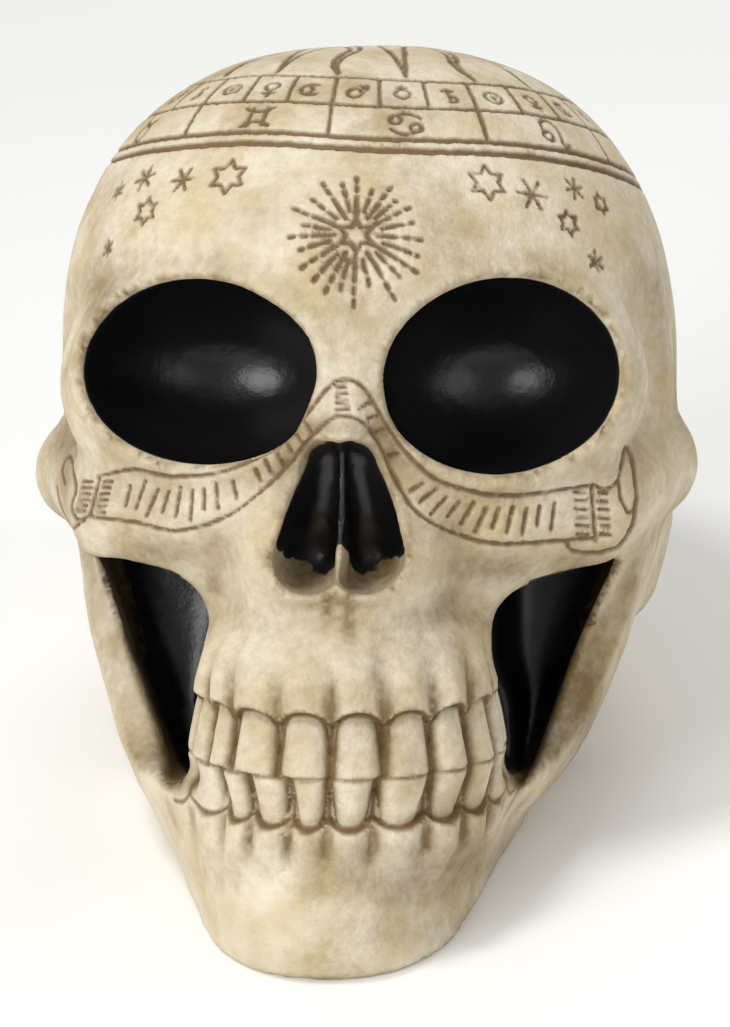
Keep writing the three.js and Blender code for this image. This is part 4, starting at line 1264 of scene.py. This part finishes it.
class SKULL_OT_casting(bpy.types.Operator):
    """Builds the skull: its forms, engraved lines and paint"""

    bl_idname = "skull.casting"
    bl_label = "Build casting"

    def execute(self, context):
        shape = context.scene.skull_shape
        fine = shape.fine
        verts, faces, normals = shaped_mesh(shape.cell, fine)
        cut = engrave(verts, normals, shape.line_width, shape.line_depth)
        standing = smooth_step(*FOOT_CALM, foot_height(verts))
        inward = (cut.cut - hand_made(verts) * (1 - cut.cut / shape.line_depth)) * standing
        placed = stand(verts - normals * inward[:, None])
        mesh = bpy.data.meshes.new("skull_casting")
        mesh.from_pydata(placed.tolist(), [], faces.tolist())
        mesh.polygons.foreach_set("use_smooth", np.ones(len(faces), bool))
        for name, value in painting(verts, normals, cut).items():
            layer = mesh.attributes.new(name, "FLOAT", "POINT")
            layer.data.foreach_set("value", value.astype(F))
        mesh.materials.append(hand_painted_resin(context.scene.skull_colours))
        mesh.update()
        piece = bpy.data.objects.new("skull_casting", mesh)
        context.scene.collection.objects.link(piece)
        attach(piece, "root")
        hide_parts("skull")
        print("casting:", len(verts), "vertices,", len(faces), "triangles")
        return {"FINISHED"}


def area_light(context, name, place, size, power):
    light = bpy.data.lights.new(name, "AREA")
    light.shape = "DISK"
    light.size = size
    light.energy = power
    holder = bpy.data.objects.new(name, light)
    holder.location = place
    holder.rotation_mode = "QUATERNION"
    holder.rotation_quaternion = (Vector(LAMP_TARGET) - Vector(place)).to_track_quat("-Z", "Y")
    context.scene.collection.objects.link(holder)


class SKULL_OT_stage(bpy.types.Operator):
    """Lays the floor and sets the lights and the camera"""

    bl_idname = "skull.stage"
    bl_label = "Set stage"

    def execute(self, context):
        view = context.scene.skull_view
        mesh = bpy.data.meshes.new("floor")
        corners = [(x * FLOOR_HALF, y * FLOOR_HALF, 0) for x, y in ((-1, -1), (1, -1), (1, 1), (-1, 1))]
        mesh.from_pydata(corners, [], [(0, 1, 2, 3)])
        mesh.materials.append(matt_paper(context.scene.skull_colours.paper))
        floor = bpy.data.objects.new("floor", mesh)
        context.scene.collection.objects.link(floor)

        for name, (place, size, power) in LAMPS.items():
            area_light(context, name, place, size, power)
        world = bpy.data.worlds.new("studio")
        world.use_nodes = True
        world.node_tree.nodes["Background"].inputs["Color"].default_value = linear("#FFFFFF")
        world.node_tree.nodes["Background"].inputs["Strength"].default_value = SKY_STRENGTH
        context.scene.world = world
        context.scene.view_settings.view_transform = "Standard"

        data = bpy.data.cameras.new("camera")
        camera = bpy.data.objects.new("camera", data)
        context.scene.collection.objects.link(camera)
        # the camera looks level at the upright face, so it looks down by the foot's tilt
        target = Vector(stand(np.array([EYE_POINT]))[0])
        down = math.radians(FOOT_TILT)
        back = Vector((math.sin(view.side), -math.cos(view.side) * math.cos(down),
                       math.cos(view.side) * math.sin(down)))
        up = Vector((0, math.sin(down), math.cos(down)))
        camera.matrix_world = Matrix.Translation(target + back * view.distance) @ Matrix(
            (up.cross(back), up, back)).transposed().to_4x4()
        data.sensor_fit = "AUTO"
        data.sensor_width = SENSOR_WIDTH
        data.lens = data.sensor_width * view.scale * view.distance / MM / PICTURE_HEIGHT
        data.shift_x = view.shift / PICTURE_HEIGHT
        context.scene.camera = camera
        return {"FINISHED"}


class SKULL_PT_panel(bpy.types.Panel):
    bl_label = "Skull ornament"
    bl_idname = "SKULL_PT_panel"
    bl_space_type = "VIEW_3D"
    bl_region_type = "UI"
    bl_category = "Skull"

    def draw(self, context):
        layout = self.layout
        for group in (context.scene.skull_shape, context.scene.skull_colours, context.scene.skull_view):
            box = layout.box()
            for name in group.bl_rna.properties.keys():
                if name not in ("rna_type", "name"):
                    box.prop(group, name)
        layout.operator("skull.casting")
        layout.operator("skull.stage")


GROUPS = {"skull_shape": SkullShape, "skull_colours": SkullColours, "skull_view": SkullView}
CLASSES = (*GROUPS.values(), SKULL_OT_casting, SKULL_OT_stage, SKULL_PT_panel)


def register():
    for cls in CLASSES:
        bpy.utils.register_class(cls)
    for name, group in GROUPS.items():
        setattr(bpy.types.Scene, name, bpy.props.PointerProperty(type=group))


def unregister():
    for name in GROUPS:
        delattr(bpy.types.Scene, name)
    for cls in reversed(CLASSES):
        bpy.utils.unregister_class(cls)


def main():
    register()
    bpy.ops.skull.casting()
    bpy.ops.skull.stage()


if __name__ == "__main__":
    main()
